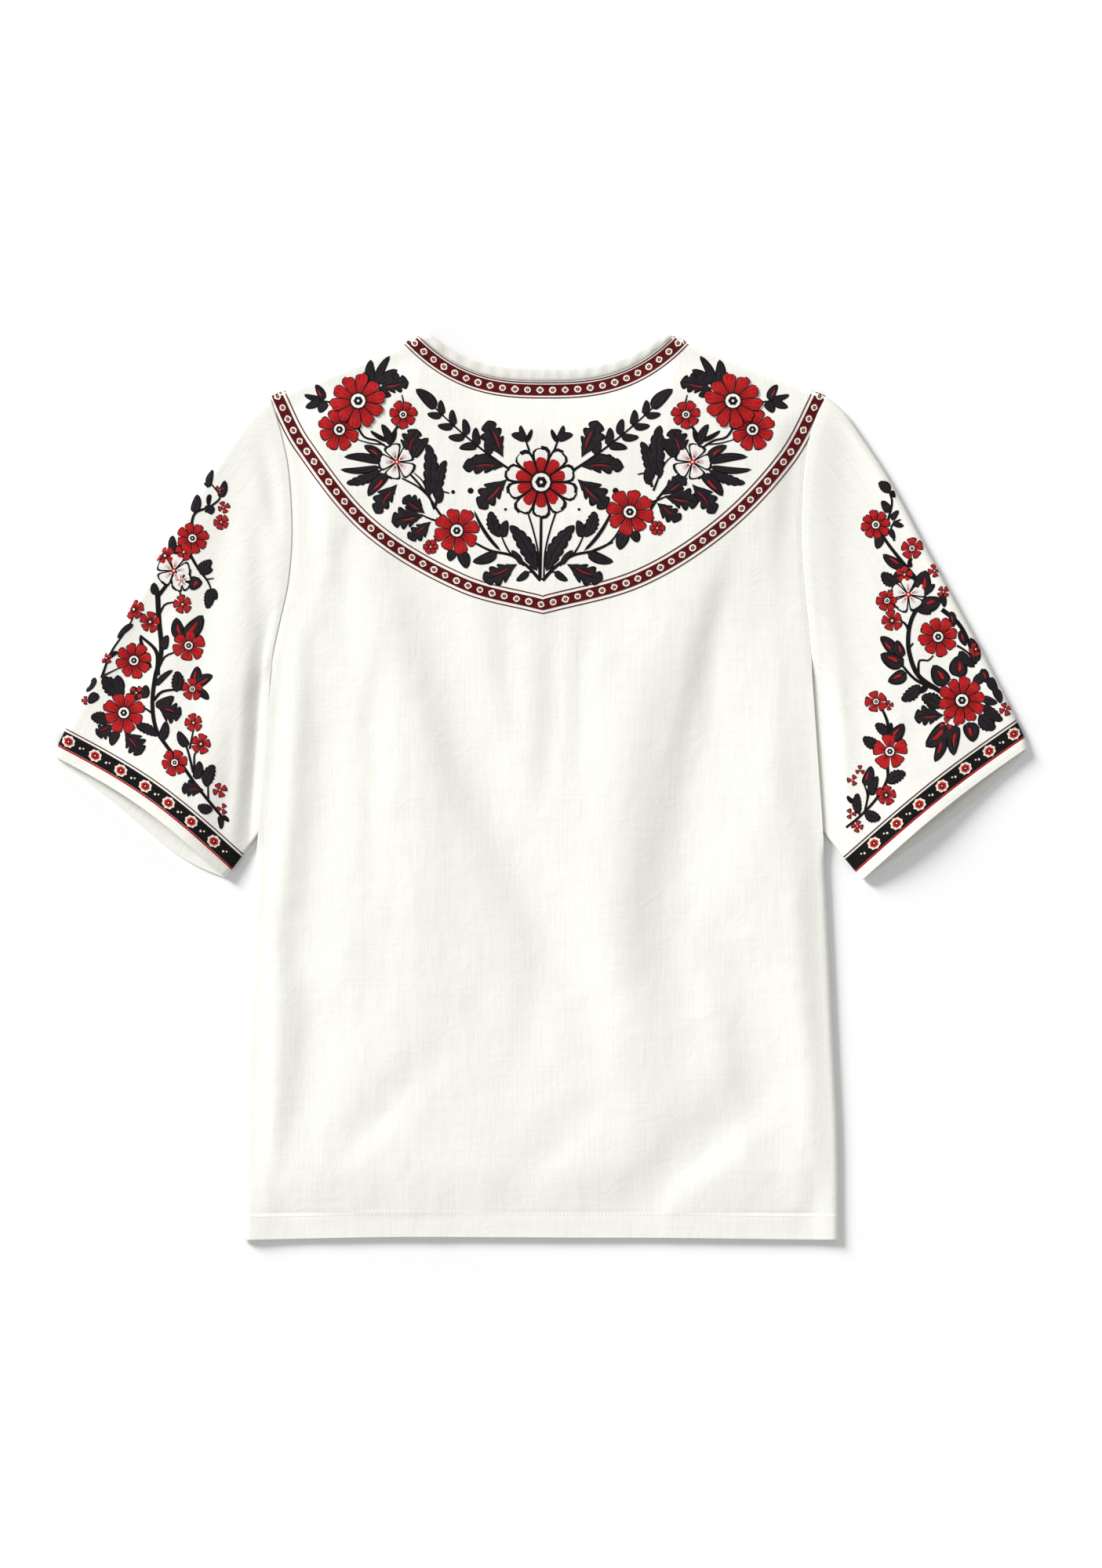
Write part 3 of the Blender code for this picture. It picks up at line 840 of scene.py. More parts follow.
class Graph:
    """The node tree of one material."""

    def __init__(self, name: str) -> None:
        """Makes the material and finds its shader."""
        self.material = bpy.data.materials.new(name)
        self.material.use_nodes = True
        self.tree = self.material.node_tree
        self.shader = self.tree.nodes["Principled BSDF"]

    def node(
        self, kind: str, settings: dict[str, Any], inputs: dict[Any, Any], output: int | str = 0
    ) -> Signal:
        """Adds a node.

        Args:
            kind: the node's type.
            settings: its settings, such as a Math node's operation or a ramp's stops.
            inputs: values or signals of its sockets, by name or number.
            output: the socket to return.

        Returns:
            The chosen output.
        """
        node = self.tree.nodes.new(kind)
        for key, value in settings.items():
            if key == "stops":
                elements = node.color_ramp.elements
                for k, (position, colour) in enumerate(value):
                    element = elements[k] if k < len(elements) else elements.new(position)
                    element.position = position
                    element.color = (*colour, 1.0)
            else:
                setattr(node, key, value)
        for key, value in inputs.items():
            self.set(node.inputs[key], value)
        return Signal(self, node.outputs[output])

    def bands(self, place: Signal, direction: str, lines_per_metre: float, distortion: float) -> Signal:
        """Adds even lines, as of threads.

        Args:
            place: cloth coordinates in metres.
            direction: the axis that they cross, "X" or "Y".
            lines_per_metre: how many there are to a metre, about.
            distortion: how uneven they are.

        Returns:
            Their height, from 0 to 1.
        """
        wave = {"wave_type": "BANDS", "bands_direction": direction, "wave_profile": "SIN"}
        scale = lines_per_metre * math.pi / 10
        inputs = {"Vector": place, "Scale": scale, "Distortion": distortion}
        return self.node("ShaderNodeTexWave", wave, inputs, 1)

    def set(self, socket: Any, value: Any) -> None:
        """Links a signal to a socket, or sets its value.

        Args:
            socket: the input socket.
            value: the signal, or a plain value.
        """
        if isinstance(value, Signal):
            self.tree.links.new(value.socket, socket)
        else:
            socket.default_value = value

    def shade(self, values: dict[str, Any]) -> bpy.types.Material:
        """Finishes the material.

        Args:
            values: values or signals of the shader's sockets, by name.

        Returns:
            The material.
        """
        for key, value in values.items():
            self.set(self.shader.inputs[key], value)
        return self.material


@dataclass(frozen=True)
class Linen:
    """Matt plain-woven linen with slubs and a soft crumple."""

    name: str
    colour: Triple = (0.872, 0.866, 0.812)
    shade: Triple = (0.825, 0.815, 0.752)
    threads_per_metre: float = 900.0
    slub_stretches: tuple[Triple, ...] = ((520.0, 26.0, 1.0), (22.0, 460.0, 1.0))

    def material(self) -> bpy.types.Material:
        """Builds the finish.

        Returns:
            The material.
        """
        g = Graph(self.name)
        uv = g.node("ShaderNodeUVMap", {"uv_map": "cloth"}, {})
        slubs = []
        for stretch in self.slub_stretches:
            place = g.node("ShaderNodeMapping", {}, {"Vector": uv, "Scale": stretch})
            slubs.append(g.node("ShaderNodeTexNoise", {}, {"Vector": place, "Scale": 1.0, "Detail": 3.0}))
        soft = {"Vector": uv, "Scale": 16.0, "Detail": 4.0, "Roughness": 0.6}
        cloudy = g.node("ShaderNodeTexNoise", {}, soft)
        grain = slubs[0] * 0.5 + slubs[1] * 0.3 + cloudy * 0.2
        stops = ((0.34, self.shade), (0.56, self.colour))
        colour = g.node("ShaderNodeValToRGB", {"stops": stops}, {"Fac": grain})
        weave = [g.bands(uv, direction, self.threads_per_metre, 1.5) for direction in ("X", "Y")]
        broken = {"Vector": uv, "Scale": 46.0, "Detail": 3.0, "Distortion": 0.8}
        cells = g.node("ShaderNodeTexNoise", {}, broken)
        crumple = 1 - g.node("ShaderNodeMath", {"operation": "ABSOLUTE"}, {0: cells * 2.0 - 1.0})
        relief = weave[0] * weave[1] * 0.12 + slubs[0] * 0.3 + slubs[1] * 0.12 + (crumple**3.0) * 0.4
        bump = g.node("ShaderNodeBump", {}, {"Height": relief, "Distance": 0.0004, "Strength": 0.5})
        values = {"Base Color": colour, "Roughness": 0.86 + grain * 0.1, "Normal": bump}
        return g.shade({**values, "Specular IOR Level": 0.25, "Sheen Weight": 0.12, "Sheen Roughness": 0.5})


class Thread(Enum):
    """Colours of embroidery thread: a dark and a light tone of each."""

    RED = ((0.32, 0.006, 0.009), (0.56, 0.020, 0.020))
    MAROON = ((0.060, 0.003, 0.005), (0.12, 0.006, 0.009))
    BLACK = ((0.004, 0.0035, 0.004), (0.011, 0.009, 0.010))
    LEAF = ((0.008, 0.0065, 0.008), (0.030, 0.024, 0.030))
    CREAM = ((0.74, 0.66, 0.54), (0.88, 0.82, 0.70))
    WHITE = ((0.80, 0.77, 0.71), (0.93, 0.91, 0.87))


@dataclass(frozen=True)
class ThreadFinish:
    """Satin-stitched thread, with fine ribs along each stitch."""

    thread: Thread
    ribs_per_metre: float = 1500.0
    tone_stretch: Triple = (120.0, 1500.0, 1.0)

    def material(self) -> bpy.types.Material:
        """Builds the finish.

        Returns:
            The material.
        """
        g = Graph(f"thread_{self.thread.name.lower()}")
        uv = g.node("ShaderNodeUVMap", {"uv_map": "cloth"}, {})
        stretched = g.node("ShaderNodeMapping", {}, {"Vector": uv, "Scale": self.tone_stretch})
        tone = g.node("ShaderNodeTexNoise", {}, {"Vector": stretched, "Scale": 1.0, "Detail": 2.0})
        dark, light = self.thread.value
        colour = g.node("ShaderNodeValToRGB", {"stops": ((0.36, dark), (0.6, light))}, {"Fac": tone})
        ribs = g.bands(uv, "Y", self.ribs_per_metre, 0.6)
        bump = g.node("ShaderNodeBump", {}, {"Height": ribs, "Distance": 0.00012, "Strength": 0.6})
        values = {"Base Color": colour, "Roughness": 0.62 + tone * 0.14, "Normal": bump}
        return g.shade({**values, "Specular IOR Level": 0.08})


@dataclass(frozen=True)
class Drape:
    """Lays plan points on the cloth, and round the folded edges of a tube onto its other side."""

    surface: BVHTree
    under: bool = False
    tube: bool = False
    far: float = 0.2
    fold_middle: float = 0.0029

    def hit(self, x: float, y: float, under: bool) -> tuple[Vector, Vector] | None:
        """Where a plumb line meets the cloth first.

        Args:
            x: plan x of the line, in metres.
            y: plan y of the line, in metres.
            under: whether it comes from below.

        Returns:
            The place and the outward normal there, or None where there is no cloth.
        """
        start, way = (-self.far, 1.0) if under else (self.far, -1.0)
        place, normal, _, _ = self.surface.ray_cast(Vector((x, y, start)), Vector((0, 0, way)))
        if place is None:
            return None
        return place, normal if normal.z * way < 0 else -normal

    def lay(self, x: float, y: float, lift: float) -> Vector:
        """The point that lies off the cloth at a plan point.

        Args:
            x: plan x in millimetres.
            y: plan y in millimetres.
            lift: how far off the cloth it is, in millimetres.

        Returns:
            The point, in metres.
        """
        x, y = x * MM, y * MM
        found = self.hit(x, y, self.under)
        if found is None:
            edge, normal, _, _ = self.surface.find_nearest(Vector((x, y, self.fold_middle)))
            wrapped = self.hit(2 * edge.x - x, 2 * edge.y - y, not self.under) if self.tube else None
            found = wrapped or (edge, normal)
        return found[0] + found[1] * lift * MM


class Bloom(Enum):
    """Kinds of flower head."""

    RED = "red petals"
    WHITE = "white petals with red veins"
    CROWN = "white petals with red ones on them"


class Form(Enum):
    """Kinds of leaf."""

    PLAIN = "one pointed blade"
    VEINED = "a blade with a red vein"
    TOOTHED = "a blade with teeth"
    LOBED = "a blade of several lobes"


class Flower(NamedTuple):
    """One flower head by its place, size and kind."""

    x: float
    y: float
    radius: float
    petals: int
    turn: float
    kind: Bloom = Bloom.RED
    over: int = 0


class Leaf(NamedTuple):
    """One leaf from its base to its tip."""

    x: float
    y: float
    tip_x: float
    tip_y: float
    width: float
    form: Form = Form.PLAIN


class Stem(NamedTuple):
    """One stem by its widths at both ends and the points it runs through."""

    start: float
    end: float
    points: tuple[Point, ...]


class Spray(NamedTuple):
    """A curved stem with pairs of leaflets on it."""

    start: Point
    middle: Point
    end: Point
    pairs: int
    length: float
    width: float


@dataclass(frozen=True)
class Motif:
    """Flowers, leaves and stems that are sewn together."""

    flowers: tuple[Flower, ...] = ()
    leaves: tuple[Leaf, ...] = ()
    stems: tuple[Stem, ...] = ()
    sprays: tuple[Spray, ...] = ()
    dots: tuple[Triple, ...] = ()


@dataclass(frozen=True)
class Mirror:
    """Turns a motif over to the other side of the middle."""

    middle: float = 0.8
    scale: float = 1.045
    rise: float = 0.0

    def __call__(self, x: float, y: float) -> Point:
        """The mirrored plan point."""
        return self.middle + (self.middle - x) * self.scale, y + self.rise


def as_drawn(x: float, y: float) -> Point:
    """Leaves a plan point where it is."""
    return x, y


RED, WHITE, CROWN = Bloom.RED, Bloom.WHITE, Bloom.CROWN
VEINED, TOOTHED, LOBED = Form.VEINED, Form.TOOTHED, Form.LOBED

YOKE_SHOULDER = Motif(
    flowers=(
        Flower(-161, 286, 16.4, 8, 20), Flower(-146, 309, 21.4, 10, 9, RED, 5),
        Flower(-110, 298, 10.7, 7, 15), Flower(-115, 260, 13.2, 5, 36, WHITE),
    ),
    leaves=(
        Leaf(-135, 321, -136, 342, 8), Leaf(-132, 322, -121, 345, 6), Leaf(-129, 323, -115, 334, 7),
        Leaf(-129, 319, -106, 324, 16, LOBED), Leaf(-129, 318, -120, 313, 6),
        Leaf(-174, 310, -180, 322, 6, VEINED), Leaf(-177, 311, -189, 314, 4), Leaf(-177, 310, -188, 304, 6),
        Leaf(-172, 308, -177, 300, 7), Leaf(-120, 274, -127, 290, 6), Leaf(-122, 277, -136, 285, 3),
        Leaf(-120, 275, -116, 286, 3), Leaf(-107, 264, -99, 286, 17, LOBED), Leaf(-102, 264, -90, 279, 8),
        Leaf(-128, 260, -157, 264, 6.5), Leaf(-127, 263, -141, 273, 7, VEINED), Leaf(-129, 256, -160, 254, 5),
        Leaf(-128, 253, -155, 243, 8, TOOTHED), Leaf(-123, 250, -138, 233, 9, VEINED),
        Leaf(-115, 242, -132, 219, 15, LOBED),
    ),
    stems=(
        Stem(1.1, 0.5, ((-109, 305), (-111, 314))),
        Stem(1.2, 1.0, ((-148, 291), (-141, 280), (-131, 277), (-121, 270), (-117, 265))),
        Stem(0.9, 0.5, ((-125, 274), (-136, 275), (-150, 279))), Stem(1.0, 0.8, ((-168, 308), (-180, 310))),
        Stem(1.4, 1.0, ((-114, 289), (-119, 281), (-119, 271), (-112, 265))),
        Stem(1.1, 1.3, ((-107, 253), (-97, 242), (-88, 230), (-81, 219), (-75, 212))),
        Stem(0.9, 1.1, ((-111, 247), (-98, 240), (-88, 231))),
    ),
)
YOKE_WING = Motif(
    flowers=(Flower(-88, 192, 5.5, 6, 0), Flower(-67, 205, 17.9, 8, 12)),
    leaves=(
        Leaf(-90, 232, -90, 274, 12, TOOTHED), Leaf(-84, 230, -76, 261, 9.5, TOOTHED),
        Leaf(-82, 227, -80, 240, 5), Leaf(-94, 217, -119, 212, 18, LOBED),
        Leaf(-93, 219, -110, 231, 13, LOBED), Leaf(-88, 212, -106, 199, 13, LOBED),
        Leaf(-64, 188, -59, 175, 9), Leaf(-69, 189, -73, 181, 7),
    ),
    stems=(
        Stem(1.4, 0.7, ((-84, 225), (-81, 236), (-73, 235))),
        Stem(1.2, 0.6, ((-85, 222), (-94, 244), (-101, 251))),
        Stem(1.2, 0.8, ((-78, 212), (-87, 214), (-96, 218))), Stem(1.0, 0.6, ((-83, 202), (-85, 197))),
    ),
)
YOKE_FOOT = Motif(
    leaves=(
        Leaf(-35, 187, -54, 180, 8), Leaf(-19, 178, -46, 166, 17, LOBED), Leaf(-10, 172, -19, 165, 5),
        Leaf(-33, 200, -40, 220, 10, TOOTHED), Leaf(-30, 200, -27, 213, 7), Leaf(-32, 189, -53, 221, 2),
        Leaf(-15, 178, -23, 189, 4), Leaf(-3, 173, -24, 209, 12.5, TOOTHED),
        Leaf(-30, 264, -42, 293, 18, LOBED), Leaf(-28, 257, -62, 256, 15.5, LOBED),
        Leaf(-27, 246, -49, 223, 18, LOBED), Leaf(-12, 278, -23, 282, 6), Leaf(-12, 278, -16, 289, 4),
        Leaf(-12, 276, -7, 286, 3),
    ),
    stems=(
        Stem(1.8, 1.1, ((0, 165), (-10, 176), (-23, 185), (-40, 189), (-54, 196))),
        Stem(1.3, 0.7, ((-13, 177), (-25, 188), (-32, 202))),
        Stem(1.0, 0.9, ((-2, 168), (-7, 172), (-11, 171))), Stem(1.2, 0.8, ((-9, 269), (-12, 278))),
        Stem(0.9, 0.8, ((-10, 219), (-6, 206), (-2, 188), (-1, 168))),
    ),
    sprays=(Spray((-20, 251), (-53, 275), (-84, 303), 5, 14.5, 6.0),),
    dots=((-56, 237, 2.4), (-70, 236, 1.6), (-28, 222, 1.2)),
)
YOKE_MIDDLE = Motif(
    flowers=(Flower(0.6, 243.8, 27.2, 10, 18, CROWN),),
    stems=(
        Stem(1.3, 1.6, ((0.6, 218), (0.2, 190), (-0.4, 166))),
        Stem(1.1, 0.9, ((42, 189), (55, 195), (63, 205), (67, 214))),
    ),
)
LEFT_SLEEVE = Motif(
    flowers=(
        Flower(-301, 185, 7.4, 5, 40), Flower(-286, 188, 6.5, 5, 10), Flower(-279, 199, 12.2, 8, 14),
        Flower(-294, 173, 12.6, 5, 5, WHITE), Flower(-288, 165, 7.4, 5, 25, WHITE),
        Flower(-287, 146, 6.9, 5, 30), Flower(-313, 132, 7.8, 5, 10), Flower(-326, 101, 13.9, 8, 12),
        Flower(-334, 59, 16.1, 8, 20), Flower(-282, 113, 12.2, 6, 20), Flower(-279, 78, 8.2, 5, 18),
        Flower(-278, 51, 6.7, 5, 30), Flower(-272, 34, 7.4, 5, 5), Flower(-293, 19, 10.0, 6, 10),
        Flower(-257, -3, 5.2, 4, 20), Flower(-255, -18, 3.9, 3, 60), Flower(-254, 224, 4.3, 4, 20),
        Flower(-256, 212, 5.6, 5, 40), Flower(-257, 238, 3.3, 3, 30), Flower(-326, 142, 7.4, 5, 20),
        Flower(-348, 103, 4.3, 4, 30), Flower(-365, 69, 2.8, 4, 0), Flower(-324, 75, 5.2, 4, 45),
    ),
    leaves=(
        Leaf(-267, 240, -263, 254, 6), Leaf(-265, 234, -266, 225, 3), Leaf(-257, 232, -253, 245, 6),
        Leaf(-278, 220, -275, 234, 7), Leaf(-262, 220, -269, 224, 6), Leaf(-294, 189, -295, 201, 6),
        Leaf(-275, 174, -264, 181, 8, TOOTHED), Leaf(-274, 173, -263, 174, 6),
        Leaf(-274, 167, -280, 158, 10, VEINED), Leaf(-266, 158, -267, 143, 8, TOOTHED),
        Leaf(-265, 158, -260, 150, 6), Leaf(-308, 154, -310, 163, 6), Leaf(-288, 118, -292, 135, 10, VEINED),
        Leaf(-285, 120, -271, 137, 12, VEINED), Leaf(-302, 110, -299, 121, 6), Leaf(-308, 81, -295, 93, 4),
        Leaf(-292, 76, -291, 92, 10, TOOTHED), Leaf(-278, 83, -275, 96, 8, VEINED),
        Leaf(-276, 81, -263, 89, 8, VEINED), Leaf(-275, 77, -266, 70, 6), Leaf(-306, 63, -288, 58, 17, LOBED),
        Leaf(-308, 64, -294, 72, 8), Leaf(-312, 95, -321, 121, 3), Leaf(-334, 74, -351, 87, 14, TOOTHED),
        Leaf(-339, 75, -339, 89, 9), Leaf(-324, 69, -327, 80, 8), Leaf(-319, 71, -316, 81, 7),
        Leaf(-346, 52, -360, 56, 10, TOOTHED), Leaf(-343, 49, -356, 42, 13, LOBED),
        Leaf(-339, 44, -344, 33, 7), Leaf(-333, 43, -320, 26, 17, LOBED),
        Leaf(-324, 49, -307, 41, 8, TOOTHED), Leaf(-304, 37, -300, 52, 7), Leaf(-283, 32, -290, 44, 7),
        Leaf(-355, 74, -362, 67, 7), Leaf(-327, 130, -339, 119, 4), Leaf(-339, 108, -351, 99, 3),
        Leaf(-357, 87, -364, 76, 4), Leaf(-276, 6, -273, 20, 7), Leaf(-268, 0, -262, 17, 10, TOOTHED),
        Leaf(-270, -3, -287, -2, 13, LOBED), Leaf(-263, -19, -274, -16, 8, TOOTHED),
        Leaf(-257, -24, -256, -34, 4), Leaf(-255, -24, -250, -28, 3),
    ),
    stems=(
        Stem(1.4, 2.6, ((-254, -26), (-275, 0), (-287, 17), (-300, 33), (-308, 46), (-311, 65), (-309, 87),
             (-304, 108), (-306, 134), (-307, 154))),
        Stem(2.0, 1.2, ((-307, 152), (-298, 165), (-291, 189), (-281, 206), (-277, 219), (-265, 224))),
        Stem(1.2, 0.7, ((-265, 224), (-257, 232), (-265, 244))),
        Stem(1.2, 0.7, ((-269, 221), (-263, 219))),
        Stem(1.6, 0.7, ((-281, 186), (-274, 174), (-266, 163), (-263, 152))),
        Stem(0.9, 0.6, ((-268, 166), (-262, 167))),
        Stem(1.2, 0.8, ((-305, 139), (-301, 146), (-292, 148))),
        Stem(1.0, 0.7, ((-288, 152), (-290, 159))),
        Stem(1.3, 0.8, ((-306, 95), (-301, 104), (-292, 108))),
        Stem(2.6, 1.2, ((-307, 89), (-308, 108), (-321, 121))),
        Stem(1.6, 0.9, ((-310, 69), (-303, 76), (-283, 78))),
        Stem(1.3, 0.9, ((-310, 58), (-319, 64))),
        Stem(1.2, 0.6, ((-301, 37), (-303, 46), (-300, 51))),
        Stem(1.4, 0.8, ((-278, 11), (-283, 30), (-289, 43))),
        Stem(1.1, 0.7, ((-281, 30), (-278, 46))),
        Stem(1.2, 0.8, ((-277, 13), (-277, 26), (-273, 30))),
        Stem(1.0, 0.6, ((-266, -11), (-266, 4), (-263, 16))),
        Stem(1.4, 0.7, ((-352, 87), (-344, 108), (-331, 127), (-326, 137))),
        Stem(1.0, 0.6, ((-350, 89), (-338, 95))),
    ),
)
RIGHT_SLEEVE = Motif(
    flowers=(
        Flower(269, 210, 11.3, 8, 10), Flower(298, 191, 8.2, 5, 20), Flower(292, 170, 6.5, 5, 10),
        Flower(278, 149, 8.2, 6, 0), Flower(282, 133, 7.8, 5, 30), Flower(295, 154, 13.0, 5, 20, WHITE),
        Flower(319, 120, 15.2, 8, 12), Flower(338, 69, 18.6, 10, 10), Flower(280, 28, 13.4, 5, 20),
        Flower(269, 68, 8.2, 5, 35), Flower(279, 65, 3.5, 4, 10), Flower(277, -7, 7.4, 5, 10),
        Flower(256, 13, 3.3, 3, 90), Flower(250, 5, 3.9, 3, 60), Flower(249, -22, 3.7, 3, 120),
        Flower(254, -32, 4.3, 4, 80), Flower(373, 62, 4.8, 4, 20), Flower(316, 173, 4.8, 4, 10),
        Flower(323, 156, 4.3, 4, 40), Flower(349, 110, 5.2, 4, 20), Flower(325, 50, 5.2, 3, 200),
    ),
    leaves=(
        Leaf(280, 236, 272, 244, 8, TOOTHED), Leaf(282, 237, 284, 232, 3), Leaf(279, 220, 274, 229, 6),
        Leaf(282, 214, 287, 221, 4), Leaf(283, 212, 291, 209, 4), Leaf(281, 206, 284, 199, 4),
        Leaf(272, 202, 270, 191, 7), Leaf(276, 198, 272, 201, 3), Leaf(291, 176, 275, 186, 8, VEINED),
        Leaf(297, 176, 296, 182, 3), Leaf(286, 162, 274, 171, 10, TOOTHED), Leaf(289, 164, 285, 172, 6),
        Leaf(306, 153, 309, 173, 14, VEINED), Leaf(311, 156, 316, 162, 4),
        Leaf(306, 145, 321, 150, 12, VEINED), Leaf(302, 142, 313, 139, 6, TOOTHED),
        Leaf(284, 107, 273, 120, 9, VEINED), Leaf(290, 104, 286, 117, 8, VEINED),
        Leaf(291, 98, 273, 106, 12, VEINED), Leaf(293, 91, 279, 84, 10, VEINED),
        Leaf(304, 81, 290, 69, 10, TOOTHED), Leaf(310, 80, 303, 75, 3), Leaf(336, 108, 348, 96, 7),
        Leaf(349, 99, 345, 119, 8, VEINED), Leaf(326, 82, 315, 97, 13, VEINED),
        Leaf(336, 88, 336, 105, 14, VEINED), Leaf(347, 82, 359, 90, 8, TOOTHED),
        Leaf(321, 155, 324, 144, 4.5), Leaf(329, 140, 331, 128, 5, VEINED),
        Leaf(337, 125, 341, 113, 5, VEINED), Leaf(354, 94, 358, 83, 5.5, VEINED), Leaf(364, 78, 369, 67, 6),
        Leaf(322, 64, 306, 72, 12, TOOTHED), Leaf(323, 57, 300, 55, 16, LOBED),
        Leaf(327, 50, 309, 32, 14, VEINED), Leaf(323, 41, 316, 20, 8, VEINED),
        Leaf(333, 49, 331, 25, 10, VEINED), Leaf(343, 51, 347, 36, 12, VEINED),
        Leaf(352, 57, 364, 46, 12, TOOTHED), Leaf(355, 65, 370, 53, 9, TOOTHED), Leaf(355, 71, 366, 67, 6),
        Leaf(360, 87, 366, 76, 7), Leaf(278, 41, 269, 50, 8, TOOTHED), Leaf(280, 37, 291, 50, 10, VEINED),
        Leaf(279, 41, 281, 51, 3), Leaf(272, 32, 259, 39, 9, TOOTHED), Leaf(278, 3, 292, 11, 10, TOOTHED),
        Leaf(260, 1, 265, 16, 8, VEINED), Leaf(265, -7, 270, 8, 7), Leaf(255, -22, 254, -6, 7, TOOTHED),
        Leaf(260, -21, 272, -26, 9, TOOTHED), Leaf(251, -13, 246, -8, 3),
    ),
    stems=(
        Stem(1.0, 1.3, ((280, 236), (282, 228), (279, 214))),
        Stem(1.5, 2.0, ((272, 205), (280, 193), (292, 178), (302, 166))),
        Stem(1.2, 0.8, ((284, 197), (281, 206), (284, 212), (289, 214))),
        Stem(1.0, 0.7, ((296, 177), (298, 183))),
        Stem(2.0, 2.6, ((305, 147), (298, 135), (295, 121), (296, 106), (303, 89), (321, 76), (329, 72))),
        Stem(1.6, 1.0, ((295, 126), (293, 130), (289, 133))),
        Stem(2.4, 1.6, ((322, 142), (334, 132), (342, 119), (349, 98))),
        Stem(1.4, 0.8, ((303, 89), (304, 101), (311, 101), (315, 105))),
        Stem(1.8, 1.0, ((314, 79), (299, 87), (282, 108))),
        Stem(1.2, 0.8, ((334, 113), (342, 108), (348, 100))), Stem(1.1, 0.8, ((295, 110), (299, 115))),
        Stem(1.3, 0.8, ((316, 79), (309, 81), (301, 76))), Stem(1.2, 1.8, ((273, 64), (278, 52), (279, 41))),
        Stem(1.6, 1.2, ((278, 17), (278, 6), (269, -10), (256, -24), (245, -33))),
        Stem(1.2, 0.7, ((260, -20), (262, -7), (258, 5))), Stem(1.0, 0.6, ((262, -11), (266, 4), (270, 2))),
        Stem(1.1, 0.7, ((256, -23), (254, -15))),
    ),
)
YOKE_LINE = ((-217, 330), (-210, 311), (-191, 274), (-137, 208), (-63, 163), (1.9, 145.5))
YOKE_LINE_RIGHT = ((1.9, 145.5), (79, 167), (145, 208.5), (197, 263), (223, 311), (230, 330))


class Ring(NamedTuple):
    """One disc of a round mark: its colour, size, how many bumps its rim has and its stretch."""

    thread: Thread
    radius: float
    lobes: int = 0
    long: float = 1.0


class Band(NamedTuple):
    """A band and the thin lines beside it, by their offsets to the left of a line."""

    middle: float
    width: float
    lines: tuple[float, ...]


YOKE_BAND = Band(0.0, 8.7, (-6.9, 6.9))
NECK_BAND = Band(-6.8, 8.9, (-0.9, -13.1))
WHITE_CENTRE = (Ring(Thread.RED, 0.17, 5), Ring(Thread.CREAM, 0.07))
LARGE_CENTRE = (
    Ring(Thread.BLACK, 0.34), Ring(Thread.WHITE, 0.27),
    Ring(Thread.BLACK, 0.165, 6), Ring(Thread.CREAM, 0.05),
)
SMALL_CENTRE = (Ring(Thread.BLACK, 0.24), Ring(Thread.CREAM, 0.13))
CUFF_ROSETTE = (
    Ring(Thread.CREAM, 4.6, 8, 1.15), Ring(Thread.RED, 3.1, 6, 1.15),
    Ring(Thread.MAROON, 1.6, 4, 1.1), Ring(Thread.CREAM, 0.6),
)
# Places of the dots along the cuff, and their radii.
CUFF_DOTS = ((-1.9, 0.95), (1.5, 0.7))
CUFF_STRIPES = ((Thread.BLACK, 9.9, 21.9), (Thread.RED, 8.4, 9.7), (Thread.MAROON, 23.4, 24.3))
# Width of a petal's outline, and the gap beside it.
PETAL_LINES = {Bloom.RED: (0.6, 0.7), Bloom.WHITE: (1.5, 1.3), Bloom.CROWN: (2.0, 2.0)}
# How many teeth or lobes a blade has, how deep they are, and how far along it is widest.
SMOOTH_BLADE = (2, 0.0, 0.72)
BLADE_CUTS = {Form.TOOTHED: (6, 0.22, 0.9), Form.LOBED: (4, 0.46, 1.15)}
# Least width of a vein, and its share of the leaf's width.
LEAF_VEINS = {Form.VEINED: (1.0, 0.2), Form.LOBED: (0.7, 0.05)}


